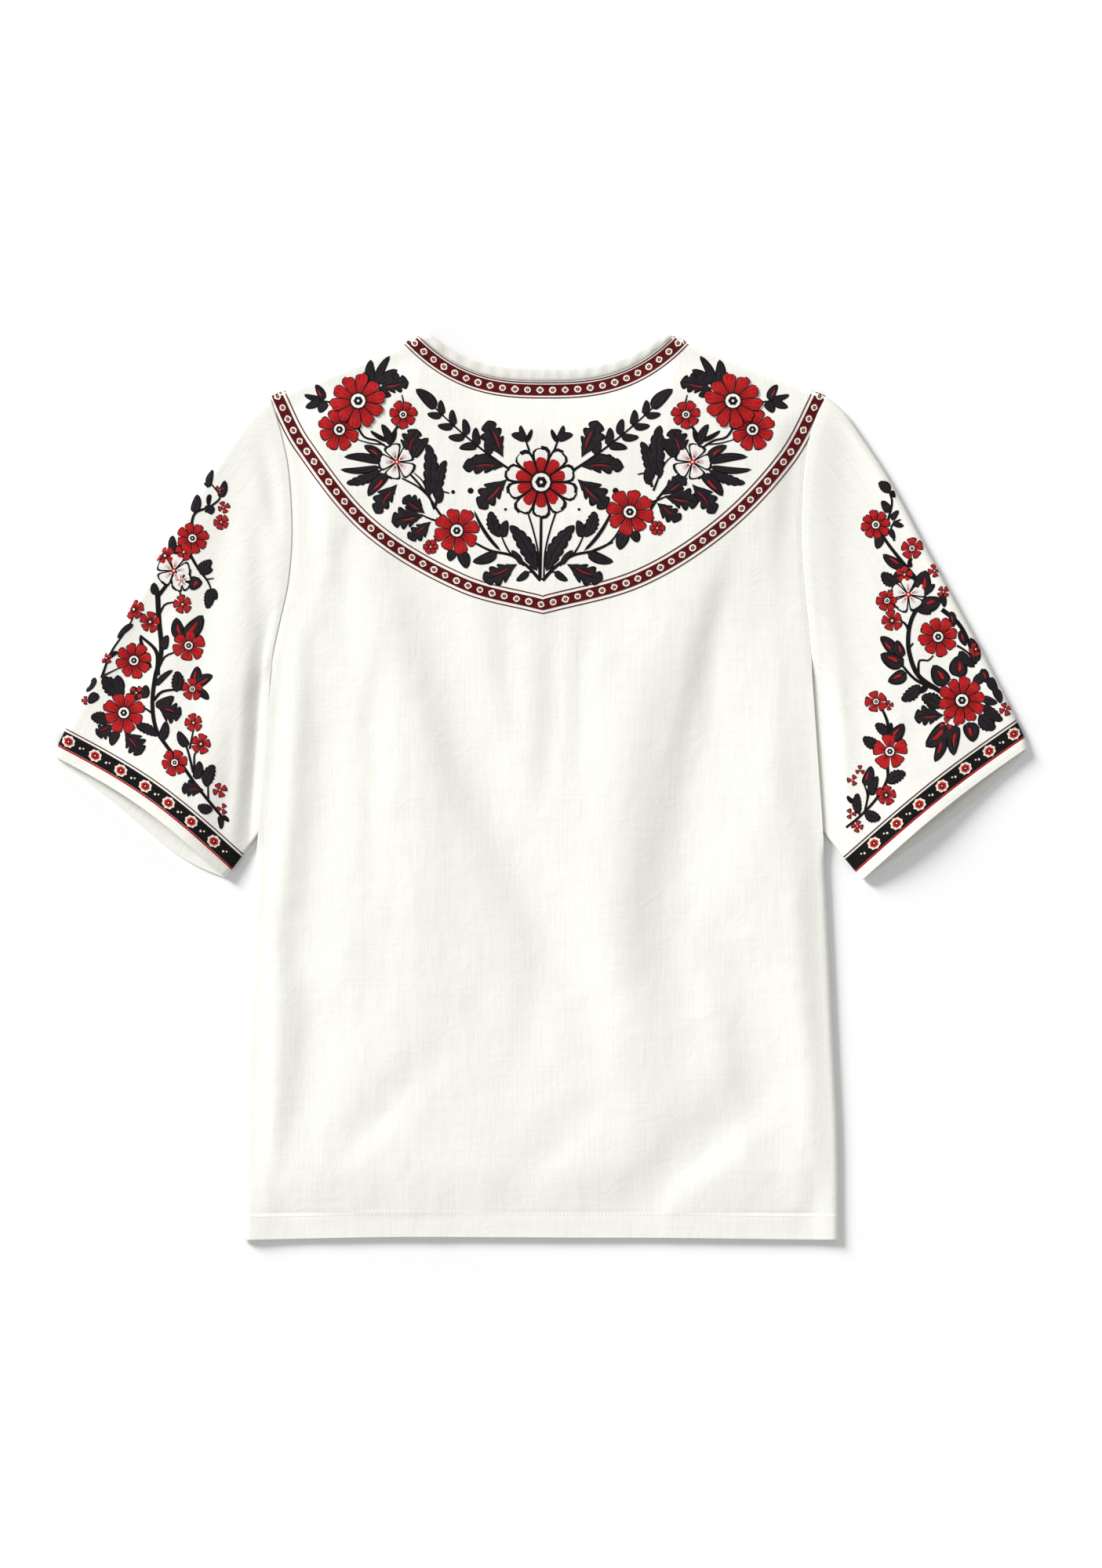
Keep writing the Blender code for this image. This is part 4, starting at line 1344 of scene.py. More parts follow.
@dataclass
class Embroidery:
    """Raised thread work on one area of the blouse, gathered in one mesh for each colour.

    Its lowest stitches' tops are first_lift above the cloth, and each next ones a layer higher.
    """

    area: str
    drape: Drape
    first_lift: float = 0.24
    layer: float = 0.13
    crown: float = 0.08
    stem_weight: float = 1.6
    stem_step: float = 3.2
    line_width: float = 0.9
    ring_pitch: float = 10.0
    ring_margin: float = 8.0
    ring_size: float = 2.65
    wall: float = 0.1
    place: PlanMap = as_drawn
    pieces: dict[Thread, Piece] = field(default_factory=dict)

    def piece(self, thread: Thread) -> Piece:
        """The mesh that gathers one colour."""
        return self.pieces.setdefault(thread, Piece(f"{self.area}_{thread.name.lower()}"))

    def patch(
        self, thread: Thread, level: int, steps: tuple[int, int], shape: PlanMap, size: Point,
        crown: float = 0.0,
    ) -> None:
        """Adds one patch of satin stitch.

        Args:
            thread: its colour.
            level: how many layers are under it.
            steps: divisions along and across.
            shape: plan point at shares along and across the patch.
            size: its length and width, for the direction of its stitches.
            crown: how much its middle stands above its edges.
        """
        piece = self.piece(thread)
        verts, i, j = piece.grid(*steps)
        lift = self.first_lift + level * self.layer
        points, flat = [], []
        for a, b in zip(i / steps[0], j / steps[1]):
            x, y = self.place(*shape(float(a), float(b)))
            raised = lift + crown * 4 * b * (1 - b) * min(1.0, 4 * a * (1 - a))
            points.append(self.drape.lay(x, y, raised) / MM)
            flat.append((a * size[0], b * size[1]))
        faces = piece.shape(verts, np.array(points), np.array(flat))
        ways = ((0.5, 0.5), (0.52, 0.5), (0.5, 0.52))
        middle, along, across = (np.array(self.place(*shape(*p))) for p in ways)
        along, across = along - middle, across - middle
        turned = along[0] * across[1] - along[1] * across[0]
        if (turned < 0) != self.drape.under:
            bmesh.ops.reverse_faces(piece.mesh, faces=faces)

    def ribbon(self, thread: Thread, level: int, line: Array, low: float, high: float) -> None:
        """Adds a strip beside a line.

        Args:
            thread: its colour.
            level: how many layers are under it.
            line: dense plan points.
            low: offset of its nearer edge to the left of the line.
            high: offset of its farther edge.
        """
        tangent = tangents(line)
        count = len(line) - 1

        def shape(a: float, b: float) -> Point:
            """A point of the strip."""
            return beside(line, tangent, a * count, mix(low, high, b))

        across = 1 if high - low < 1.2 else 4 if high - low > 5 else 2
        size = (float(lengths_along(line)[-1]), high - low)
        self.patch(thread, level, (count, across), shape, size)

    def disc(self, ring: Ring, level: int, centre: Point, scale: float = 1.0, turn: float = 0.0) -> None:
        """Adds a round patch.

        Args:
            ring: its colour, radius, lobes and stretch.
            level: how many layers are under it.
            centre: its middle.
            scale: how much larger than the ring it is.
            turn: the direction in which it is long, in radians.
        """
        radius = ring.radius * scale

        def shape(a: float, b: float) -> Point:
            """A point of the disc."""
            angle = 2 * math.pi * b
            reach = radius * a * (1 + (0.1 * math.cos(ring.lobes * angle) if ring.lobes else 0.0))
            return placed(centre, turn, reach * math.cos(angle) * ring.long, reach * math.sin(angle))

        rim = max(8 if radius < 1.5 else 12, ring.lobes * 3)
        steps = (1 if radius < 3.5 else 2, rim)
        self.patch(ring.thread, level, steps, shape, (radius, 2 * math.pi * radius))

    def rings(
        self, rings: Iterable[Ring], level: int, centre: Point, scale: float = 1.0, turn: float = 0.0
    ) -> None:
        """Adds discs on top of each other.

        Args:
            rings: the discs, from the lowest up.
            level: how many layers of thread are under the lowest.
            centre: their middle.
            scale: how much larger than the rings they are.
            turn: the direction in which they are long, in radians.
        """
        for k, ring in enumerate(rings):
            self.disc(ring, level + k, centre, scale, turn)

    def petal(
        self, thread: Thread, level: int, centre: Point, angle: float, reach: Point, spread: float, gap: float
    ) -> None:
        """Adds a rounded petal that points away from its flower's centre.

        Args:
            thread: its colour.
            level: how many layers are under it.
            centre: the middle of the flower.
            angle: the way it points, in radians.
            reach: where it starts and where it ends, from the centre.
            spread: half the angle that it may fill, in radians.
            gap: what is left free between it and its neighbours.
        """
        inner, outer = reach
        notch = 0.04 * math.sin(7 * angle + outer)

        def shape(a: float, b: float) -> Point:
            """The petal's outline: a wedge with a round tip, slightly notched."""
            s = 2 * b - 1
            a = math.sin(math.pi / 2 * a)
            cut = 0.04 * math.exp(-((s / 0.3) ** 2)) + notch * s
            along = inner + (outer - inner) * a * (1 - cut * a**5)
            half = max(0.12, along * math.sin(spread) - gap / 2) * math.sqrt(max(0.0, 1 - a**8))
            return placed(centre, angle, along, s * half)

        size = (outer - inner, 2 * outer * math.sin(spread))
        self.patch(thread, level, (6, 4), shape, size, self.crown)

    def stem(self, thread: Thread, level: int, stem: Stem) -> None:
        """Adds a curved stem that tapers from its start width to its end width.

        Args:
            thread: its colour.
            level: how many layers are under it.
            stem: its widths and the points it runs through.
        """
        length = sum(math.dist(p, q) for p, q in zip(stem.points, stem.points[1:]))
        steps = max(2, round(length / self.stem_step))
        line = through(stem.points, np.linspace(0, 1, steps + 1))
        tangent = tangents(line)

        def shape(a: float, b: float) -> Point:
            """The stem's outline."""
            return beside(line, tangent, a * steps, mix(stem.start, stem.end, a) * (b - 0.5))

        wide = max(stem.start, stem.end)
        self.patch(thread, level, (steps, 2 if wide > 1.5 else 1), shape, (length, wide))

    def blade(self, thread: Thread, level: int, leaf: Leaf, grow: float, part: Point = (0.0, 1.0)) -> None:
        """Adds a pointed blade, or part of its width.

        Args:
            thread: its colour.
            level: how many layers are under it.
            leaf: its base, tip, width and form, which says what teeth it has.
            grow: millimetres that its outline is widened by.
            part: the shares of its width between which it is filled.
        """
        length = math.dist((leaf.x, leaf.y), (leaf.tip_x, leaf.tip_y))
        heading = math.atan2(leaf.tip_y - leaf.y, leaf.tip_x - leaf.x)
        sway = 0.06 * length * (1 if (round(leaf.x) + round(leaf.tip_y)) % 2 else -1)
        count, depth, bias = BLADE_CUTS.get(leaf.form, SMOOTH_BLADE)

        def shape(a: float, b: float) -> Point:
            """The blade's outline: round lobes that lean towards its tip, with a notch between each two."""
            s = 2 * mix(part[0], part[1], b) - 1
            lobe = abs(math.sin(math.pi * a * count)) ** 0.6
            swell = math.sin(math.pi * a**bias) ** 0.62 if 0 < a < 1 else 0.0
            ahead = 1.3 * depth * lobe / count * abs(s) ** 1.5
            along = -grow + (length + 2 * grow) * (a + ahead * (1 - a))
            wide = leaf.width / 2 * swell * (1 - depth * (1 - lobe)) + grow * (swell > 0)
            return placed((leaf.x, leaf.y), heading, along, wide * s + sway * 4 * a * (1 - a))

        across = 2 if part != (0.0, 1.0) or leaf.width < 4 else 4
        steps = (max(8, count * 5), across)
        self.patch(thread, level, steps, shape, (length, leaf.width), self.crown)

    def leaf(self, leaf: Leaf) -> None:
        """Adds a leaf in the manner of its form: black outline, dark halves and a vein.

        Args:
            leaf: its base, tip, width and form.
        """
        self.blade(Thread.BLACK, 0, leaf, 0.5)
        if leaf.width > 3.5:
            for part in ((0.07, 0.47), (0.53, 0.93)):
                self.blade(Thread.LEAF, 1, leaf, -0.25, part)
        if leaf.form in LEAF_VEINS:
            least, share = LEAF_VEINS[leaf.form]
            ends = [(mix(leaf.x, leaf.tip_x, t), mix(leaf.y, leaf.tip_y, t)) for t in (0.25, 0.72)]
            self.blade(Thread.RED, 2, Leaf(*ends[0], *ends[1], max(least, leaf.width * share)), 0.0)

    def flower(self, flower: Flower) -> None:
        """Adds a flower head: outlined petals, their veins, and a ringed centre.

        Args:
            flower: its place, size and kind.
        """
        centre, radius, count = (flower.x, flower.y), flower.radius, flower.petals
        spread = math.pi / max(count, 5)
        line, gap = PETAL_LINES[flower.kind]
        ground = Thread.RED if flower.kind is Bloom.RED else Thread.WHITE
        vein = Thread.RED if flower.kind is Bloom.WHITE else Thread.MAROON
        sways = () if radius < 7 else (-0.16, 0.0, 0.16) if radius > 13 else (-0.1, 0.1)
        low = flower.over
        top = low + (3 if flower.kind is Bloom.CROWN else 2)
        for k in range(count):
            angle = math.radians(flower.turn) + 2 * math.pi * k / count
            reach = radius * (1 + 0.04 * math.sin(k * 2.4 + flower.turn))
            edges = (radius * 0.1, reach + line)
            self.petal(Thread.BLACK, low, centre, angle, edges, spread, -0.8 * line)
            self.petal(ground, low + 1, centre, angle, (radius * 0.12, reach), spread, gap)
            if flower.kind is Bloom.CROWN:
                edges = (radius * 0.16, reach * 0.76)
                self.petal(Thread.RED, low + 2, centre, angle, edges, spread, gap - 0.6)
            for sway in sways:
                ends = tuple(placed(centre, angle + sway, radius * r) for r in (0.26, 0.5, 0.68))
                self.stem(vein, top, Stem(0.55, 0.2, ends))
        if flower.kind is Bloom.WHITE:
            self.rings(WHITE_CENTRE, top + 1, centre, radius)
        else:
            self.rings(LARGE_CENTRE if radius > 8 else SMALL_CENTRE, top, centre, radius)

    def spray(self, spray: Spray) -> None:
        """Adds a stem with leaflets in pairs and one at its end.

        Args:
            spray: its stem's points, and the number and size of its leaflets.
        """
        line = bend(spray.start, spray.middle, spray.end, np.linspace(0, 1, 9))
        self.stem(Thread.BLACK, 0, Stem(2.2, 1.1, tuple(tuple(p) for p in line)))
        for k in range(spray.pairs):
            t = 0.3 + 0.6 * k / max(1, spray.pairs - 1)
            at = bend(spray.start, spray.middle, spray.end, np.array([t, t + 0.02]))
            heading = math.atan2(at[1, 1] - at[0, 1], at[1, 0] - at[0, 0])
            length = spray.length * (1.12 - 0.4 * t)
            for side in (-1, 1):
                turn = heading + side * math.radians(50 - 14 * t)
                base = placed(tuple(at[0]), turn, 1.4)
                tip = placed(base, turn, length)
                self.leaf(Leaf(*base, *tip, spray.width * (1.1 - 0.3 * t)))
                self.stem(Thread.BLACK, 0, Stem(1.2, 0.9, (tuple(at[0]), mix(at[0], base, 0.5), base)))
        run = (line[-1] - line[-2]) / math.dist(line[-1], line[-2])
        self.leaf(Leaf(*line[-1], *(line[-1] + run * spray.length * 1.5), spray.width * 1.5))

    def sew(self, motif: Motif, place: PlanMap = as_drawn) -> None:
        """Sews a motif.

        Args:
            motif: its flowers, leaves, stems, sprays and dots.
            place: moves or mirrors its plan points.
        """
        self.place = place
        weight = self.stem_weight
        for stem in motif.stems:
            self.stem(Thread.BLACK, 0, Stem(stem.start * weight, stem.end * weight, stem.points))
        for spray in motif.sprays:
            self.spray(spray)
        for leaf in motif.leaves:
            self.leaf(leaf)
        for flower in motif.flowers:
            self.flower(flower)
        for x, y, radius in motif.dots:
            self.disc(Ring(Thread.BLACK, radius), 0, (x, y))
        self.place = as_drawn

    def band(self, line: Array, band: Band) -> None:
        """Adds a band with thin lines beside it and a row of rings along it.

        Args:
            line: dense plan points, beside which the band runs.
            band: its offset and width, and the offsets of the thin lines.
        """
        self.ribbon(Thread.MAROON, 0, line, band.middle - band.width / 2, band.middle + band.width / 2)
        for offset in band.lines:
            self.ribbon(Thread.MAROON, 0, line, offset - self.line_width / 2, offset + self.line_width / 2)
        tangent = tangents(line)
        track = line + band.middle * np.column_stack((-tangent[:, 1], tangent[:, 0]))
        stops = lengths_along(track)
        count = round((stops[-1] - 2 * self.ring_margin) / self.ring_pitch)
        for k, stop in enumerate(np.linspace(self.ring_margin, stops[-1] - self.ring_margin, count + 1)):
            centre, ahead = point_at(track, stops, stop), point_at(track, stops, stop + 1)
            turn = math.atan2(ahead[1] - centre[1], ahead[0] - centre[0]) + 0.2 * math.sin(k * 1.7)
            size = self.ring_size + 0.15 * math.sin(k * 2.3)
            self.disc(Ring(Thread.CREAM, 1.0, 4 if k % 2 else 0, 1.08), 1, centre, size, turn)
            self.disc(Ring(Thread.MAROON, 0.5, 0, 1.2), 2, centre, size, turn)
            self.disc(Ring(Thread.CREAM, 0.14), 3, centre, size)

    def finish(self, materials: dict[Thread, bpy.types.Material]) -> list[bpy.types.Object]:
        """Makes the objects of this area's thread work.

        Args:
            materials: the finish of each colour.

        Returns:
            The new objects.
        """
        made: list[bpy.types.Object] = []
        for thread, piece in self.pieces.items():
            bmesh.ops.remove_doubles(piece.mesh, verts=piece.mesh.verts, dist=2e-6)
            obj = piece.finish(materials[thread], self.wall, smooth=False)
            made.append(obj)
        return made


@dataclass
class SleeveTube:
    """A sleeve: a tube of cloth folded at its outer edge and its underarm, open at its cuff."""

    row: SleeveRow
    outline: Outline
    cloth: Cloth
    rings: int = 64
    wide_columns: int = 46
    tuck_top: float = 3.8
    tuck_floor: float = 1.45
    tuck_rise: float = 38.0
    underarm_radius: float = 3.0
    clear_of_body: float = 1.5
    cuff_hem: float = 8.0
    cuff_rise: float = 0.4
    head_bulge: float = 1.8
    mouth_bulge: float = 6.0
    mouth_power: float = 1.6
    arch_power: float = 0.9
    arch_skew: float = 1.9
    deepest_trough: float = 3.6
    deepest_dent: float = 2.6
    shoulder_tilt: float = 41.0
    shoulder_ease: float = 60.0
    flat_half: float = 260.0
    cuff_round: float = 338.0
    first_mark: float = 6.5
    mark_pitch: float = 11.6
    marks_end: float = 3.0
    marks_from_cuff: float = 15.9
    exit_point: Array = field(init=False)

    def __post_init__(self) -> None:
        """Finds where the underarm's fold comes out from under the back."""
        r = self.row
        line = mix(np.array(r.underarm), np.array(r.cuff_corner), np.linspace(0, 1, 201)[:, None])
        clear = line[:, 0] >= self.outline.edge_x(line[:, 1], r.side) + self.clear_of_body
        self.exit_point = line[int(np.argmax(clear))]

    @property
    def cuff_width(self) -> float:
        """Width of the cuff from its tip to its corner."""
        return math.dist(self.row.cuff_tip, self.row.cuff_corner)

    @property
    def cuff_run(self) -> Array:
        """Unit vector along the cuff, from its tip to its corner."""
        return (np.array(self.row.cuff_corner) - np.array(self.row.cuff_tip)) / self.cuff_width

    def sewn_end(self, u: Array) -> tuple[Array, Array, Array]:
        """The sewn end of the sleeve at shares of its width.

        Args:
            u: shares, from 0 at the outer edge to 1 at the underarm.

        Returns:
            Its plan points, the matching ones just clear of the body's edge, and their heights up
            the body.
        """
        o, c, side = self.outline, self.cloth, self.row.side
        y = mix(o.shoulder_y, self.exit_point[1], u)
        start = (float(o.edge_x(c.tuck_start_y, side)) + c.armhole_gap, c.tuck_start_y)
        tuck = [start] + [(float(o.edge_x(t, side)) - inside, t) for t, inside in TUCK] + [self.row.underarm]
        tucked = through(tuck, np.clip((c.tuck_start_y - y) / (c.tuck_start_y - self.exit_point[1]), 0, 1))
        seam = np.column_stack((o.edge_x(y, side) + c.armhole_gap, y))
        sewn = np.where((y >= c.tuck_start_y)[:, None], seam, tucked)
        tilt = np.radians(self.shoulder_tilt) * (1 - ease(0, self.shoulder_ease, o.shoulder_y - y))
        out = self.clear_of_body + c.armhole_gap * ease(c.tuck_start_y, c.seam_end_y, y)
        clear = np.column_stack((o.edge_x(y, side) + out * np.cos(tilt), y - out * np.sin(tilt)))
        return sewn, clear, y

    def cuff_line(self, u: Array, upper: bool) -> Array:
        """The edge of one layer of the open cuff.

        Args:
            u: shares of the sleeve's width.
            upper: whether it is the upper layer's edge.

        Returns:
            Its plan points.
        """
        tip, corner, run = np.array(self.row.cuff_tip), np.array(self.row.cuff_corner), self.cuff_run
        inward = -self.row.bow_in * np.sin(np.pi * u)
        outward = self.row.bow_out * np.sin(np.pi * u**self.row.skew)
        bow = inward if upper else outward
        return mix(tip, corner, u[:, None]) + np.array([-run[1], run[0]]) * bow[:, None]

    def surface(self, u: Array, from_cuff: Array, along: Array, upper: bool) -> Array:
        """Points of the sleeve's outer surface.

        Args:
            u: share of the width of each point.
            from_cuff: distance from the cuff's edge, used where it isn't negative.
            along: share of the way from the sewn end, used elsewhere; below zero is in the seam.
            upper: whether the points are on the upper layer.

        Returns:
            Points in millimetres, with x to the right.
        """
        row, c = self.row, self.cloth
        sewn, clear, y_body = self.sewn_end(u)
        cuff = self.cuff_line(u, upper)
        length = np.hypot(*(cuff - clear).T)
        v = np.where(from_cuff >= 0, 1 - from_cuff / length, along)
        in_seam = np.clip(-v, 0, 1)[:, None]
        v = np.clip(v, 0, 1)
        first_clear = self.sewn_end(np.zeros(1))[1][0]
        edge = (tuple(first_clear),) + row.edge + (row.cuff_tip,)
        chord = mix(first_clear, np.array(row.cuff_tip), v[:, None])
        plan = mix(clear, cuff, v[:, None]) + (1 - u)[:, None] * (through(edge, v) - chord)
        plan = mix(plan, sewn, in_seam)
        distance = v * length
        width = mix(self.outline.shoulder_y - self.exit_point[1], self.cuff_width, v)
        turn = fold_rise(u * width, c.fold_radius) * fold_rise((1 - u) * width, self.underarm_radius)
        held = (1 - ease(c.tuck_start_y, c.seam_end_y, y_body)) * (1 - ease(0, self.tuck_rise, distance))
        bottom, top = mix(c.floor_gap, self.tuck_floor, held), mix(c.fold_top, self.tuck_top, held)
        level = bottom
        if upper:
            hem = np.where((from_cuff >= 0) & (from_cuff < self.cuff_hem), self.cuff_rise, 0.0)
            arch = np.maximum(0, np.sin(np.pi * u**self.arch_skew)) ** self.arch_power
            dip = crease_depths(SLEEVE_CREASES[row.name], plan[:, 0], plan[:, 1], self.deepest_trough)
            bulge = mix(self.head_bulge, self.mouth_bulge, v**self.mouth_power)
            lift = bulge * arch * ease(0, self.tuck_rise, distance)
            lift -= np.minimum(dip, self.deepest_dent + lift) * ease(0, 12, distance) * ease(0, 14, u * width)
            lift += rumple(plan[:, 0], plan[:, 1], SLEEVE_SEED + row.side) * ease(4, 18, distance) * arch
            level = top + lift + hem - c.seam_dip(distance, y_body)
        return np.column_stack((row.side * plan[:, 0], plan[:, 1], mix((bottom + top) / 2, level, turn)))

    def around(self, u: Array, from_cuff: Array, along: Array, upper: Array) -> Array:
        """Points of both layers of the sleeve.

        Args:
            u: share of the width of each point.
            from_cuff: distance from the cuff's edge, used where it isn't negative.
            along: share of the way from the sewn end, used elsewhere.
            upper: which points are on the upper layer.

        Returns:
            Points in millimetres, with x to the right.
        """
        points = np.empty((len(u), 3))
        for layer, chosen in ((True, upper), (False, ~upper)):
            points[chosen] = self.surface(u[chosen], from_cuff[chosen], along[chosen], layer)
        return points

    def shares(self) -> Array:
        """Shares of the width at which columns stand, closer together in the folds.

        Returns:
            Rising shares from 0 to 1.
        """
        near = np.array([0.0, 0.0008, 0.0025, 0.005, 0.008, 0.012, 0.017, 0.024, 0.032, 0.042])
        far = 1 - np.array([0.028, 0.018, 0.011, 0.006, 0.0025, 0.0008, 0.0])
        return np.concatenate((near, np.linspace(near[-1], far[0], self.wide_columns)[1:-1], far))

    def column_lengths(self, u: Array, upper: bool) -> Array:
        """Plan length of each column, from the body's edge to the cuff's edge."""
        return np.hypot(*(self.cuff_line(u, upper) - self.sewn_end(u)[1]).T)

    def build(self) -> Piece:
        """Shapes the tube: its upper layer from edge to underarm, then back along the lower one.

        Returns:
            The shaped piece.
        """
        shares = self.shares()
        stops = [self.cuff_hem + 0.4, self.cuff_hem - 0.4, 4.0, 0.6, 0.0]
        count = self.rings + 1
        piece = Piece(f"{self.row.name}_cloth")
        verts, i, j = piece.grid(len(shares) * 2 - 2, count + len(stops) - 1)
        u = np.concatenate((shares, shares[-2::-1]))[i]
        upper = i < len(shares)
        length = np.where(upper, *(self.column_lengths(u, side) for side in (True, False)))
        full = 1 - (self.cuff_hem + 4) / length
        along = np.where(j == 0, -1.0, (j - 1) / (self.rings - 1) * full)
        from_cuff = np.full(len(u), -1.0)
        for k, stop in enumerate(stops):
            from_cuff = np.where(j == count + k, stop, from_cuff)
        points = self.around(u, from_cuff, along, upper)
        sign = np.where(upper, 1, -1)
        piece.shape(verts, points, np.column_stack((sign * u * self.flat_half, points[:, 1])))
        in_hem = (from_cuff >= 0) & (from_cuff < self.cuff_hem)
        weights = {v: float(h) for v, h in zip(verts, in_hem)}
        bmesh.ops.remove_doubles(piece.mesh, verts=piece.mesh.verts, dist=1e-6)
        bmesh.ops.recalc_face_normals(piece.mesh, faces=piece.mesh.faces)
        piece.face_up(list(piece.mesh.faces))
        piece.mesh.verts.index_update()
        piece.weights = {v.index: w for v, w in weights.items() if v.is_valid}
        return piece

    def stripe(self, work: Embroidery, thread: Thread, low: float, high: float) -> None:
        """Adds a strip of stitches all round the cuff.

        Args:
            work: the thread work that it belongs to.
            thread: its colour.
            low: distance of its outer edge from the cuff's edge.
            high: distance of its inner edge.
        """
        shares = self.shares()
        around = len(shares) * 2 - 2
        across = 4 if high - low > 5 else 1
        piece = work.piece(thread)
        verts, i, j = piece.grid(around, across)
        columns = np.concatenate((shares, shares[-2::-1]))
        upper = np.arange(around + 1) < len(shares)
        net = np.empty((around + 1, across + 1, 3))
        for k in range(across + 1):
            from_cuff = np.full(around + 1, mix(low, high, k / across))
            net[:, k] = self.around(columns, from_cuff, from_cuff, upper)
        run = np.roll(net[:-1], -1, axis=0) - np.roll(net[:-1], 1, axis=0)
        run = np.concatenate((run, run[:1]))
        normal = np.cross(run, np.gradient(net, axis=1))
        normal /= np.linalg.norm(normal, axis=2, keepdims=True)
        if normal[len(shares) // 2, 0, 2] < 0:
            normal = -normal
        points = net + normal * work.first_lift
        flat = np.column_stack((i / around * self.cuff_round, mix(low, high, j / across)))
        piece.face_up(piece.shape(verts, points[i, j], flat))

    def cuff_band(self, over: Embroidery, under: Embroidery) -> None:
        """Sews the cuff's stripes, with rosettes and dots along the wide one on both layers.

        Args:
            over: the thread work of the upper layer, with the stripes.
            under: the thread work of the lower layer.
        """
        for thread, low, high in CUFF_STRIPES:
            self.stripe(over, thread, low, high)
        width, run = self.cuff_width, self.cuff_run
        heading = math.atan2(run[1], run[0] * self.row.side)
        from_cuff, along = np.array([self.marks_from_cuff]), np.array([1.0])
        for work, upper in ((over, True), (under, False)):
            for k, place in enumerate(np.arange(self.first_mark, width - self.marks_end, self.mark_pitch)):
                at = self.surface(np.array([place / width]), from_cuff, along, upper)[0]
                centre = (float(at[0]), float(at[1]))
                if k % 2 == 0:
                    work.rings(CUFF_ROSETTE, 1, centre, turn=heading)
                    continue
                for shift, radius in CUFF_DOTS:
                    x, y = placed(centre, heading, shift)
                    work.disc(Ring(Thread.CREAM, radius), 1, (x, y + shift * 0.5))


@dataclass
class Stitching:
    """Rows of small running stitches in thread the colour of the linen."""

    length: float = 1.9
    gap: float = 0.9
    width: float = 0.42
    height: float = 0.3
    start: float = 1.0
    lift: float = 0.04
    from_hem_seam: float = 1.2
    from_cuff_seam: float = 1.4
    side_margin: float = 6.0
    hem_points: int = 90

    def row(self, piece: Piece, line: Array, drape: Drape) -> None:
        """Adds one row.

        Args:
            piece: the piece that gathers the stitches.
            line: plan points that the row follows.
            drape: the cloth it is sewn on.
        """
        stops = lengths_along(line)
        for start in np.arange(self.start, stops[-1] - self.length, self.length + self.gap):
            begin, end = (
                drape.lay(*point_at(line, stops, stop), self.lift) for stop in (start, start + self.length)
            )
            run = end - begin
            turn = run.to_track_quat("X", "Z").to_matrix().to_4x4()
            size = Matrix.Diagonal((run.length / 2, self.width / 2 * MM, self.height / 2 * MM, 1.0))
            middle = Matrix.Translation((begin + end) / 2)
            bmesh.ops.create_icosphere(piece.mesh, subdivisions=1, radius=1.0, matrix=middle @ turn @ size)

    def hem_line(self, outline: Outline) -> Array:
        """Where the row that holds the body's hem runs.

        Args:
            outline: the body's edge.

        Returns:
            Its plan points.
        """
        height = outline.hem_y + outline.hem_depth - self.from_hem_seam
        left, right = (side * float(outline.edge_x(height, side)) for side in (-1, 1))
        x = np.linspace(left + self.side_margin, right - self.side_margin, self.hem_points)
        return np.column_stack((x, height + outline.hem_wave(x)))

    def cuff_line(self, tube: SleeveTube, upper: bool) -> Array:
        """Where the row that holds a cuff's hem runs.

        Args:
            tube: the sleeve.
            upper: whether the row is on its upper layer.

        Returns:
            Its plan points.
        """
        shares = tube.shares()[3:-3]
        height = np.full(len(shares), tube.cuff_hem - self.from_cuff_seam)
        return tube.surface(shares, height, height, upper)[:, :2]


class Cut(NamedTuple):
    """A piece's thickness at its hem and elsewhere, its flat size in metres and what it lies on."""

    thick: float
    wall: float
    flat: Point
    rests_on: tuple[str, ...] = ()


BODY_CUTS = {
    Level.FRONT: Cut(1.35, 0.8, (0.482, 0.728)),
    Level.BACK: Cut(1.35, 0.8, (0.482, 0.728), ("front_cloth",)),
}
BINDING_CUTS = {
    Level.BACK: Cut(1.0, 1.0, (0.0118, 0.206), ("front_cloth",)),
    Level.FRONT: Cut(1.0, 1.0, (0.0101, 0.368)),
}
SLEEVE_CUT = Cut(1.2, 0.8, (0.372, 0.352))


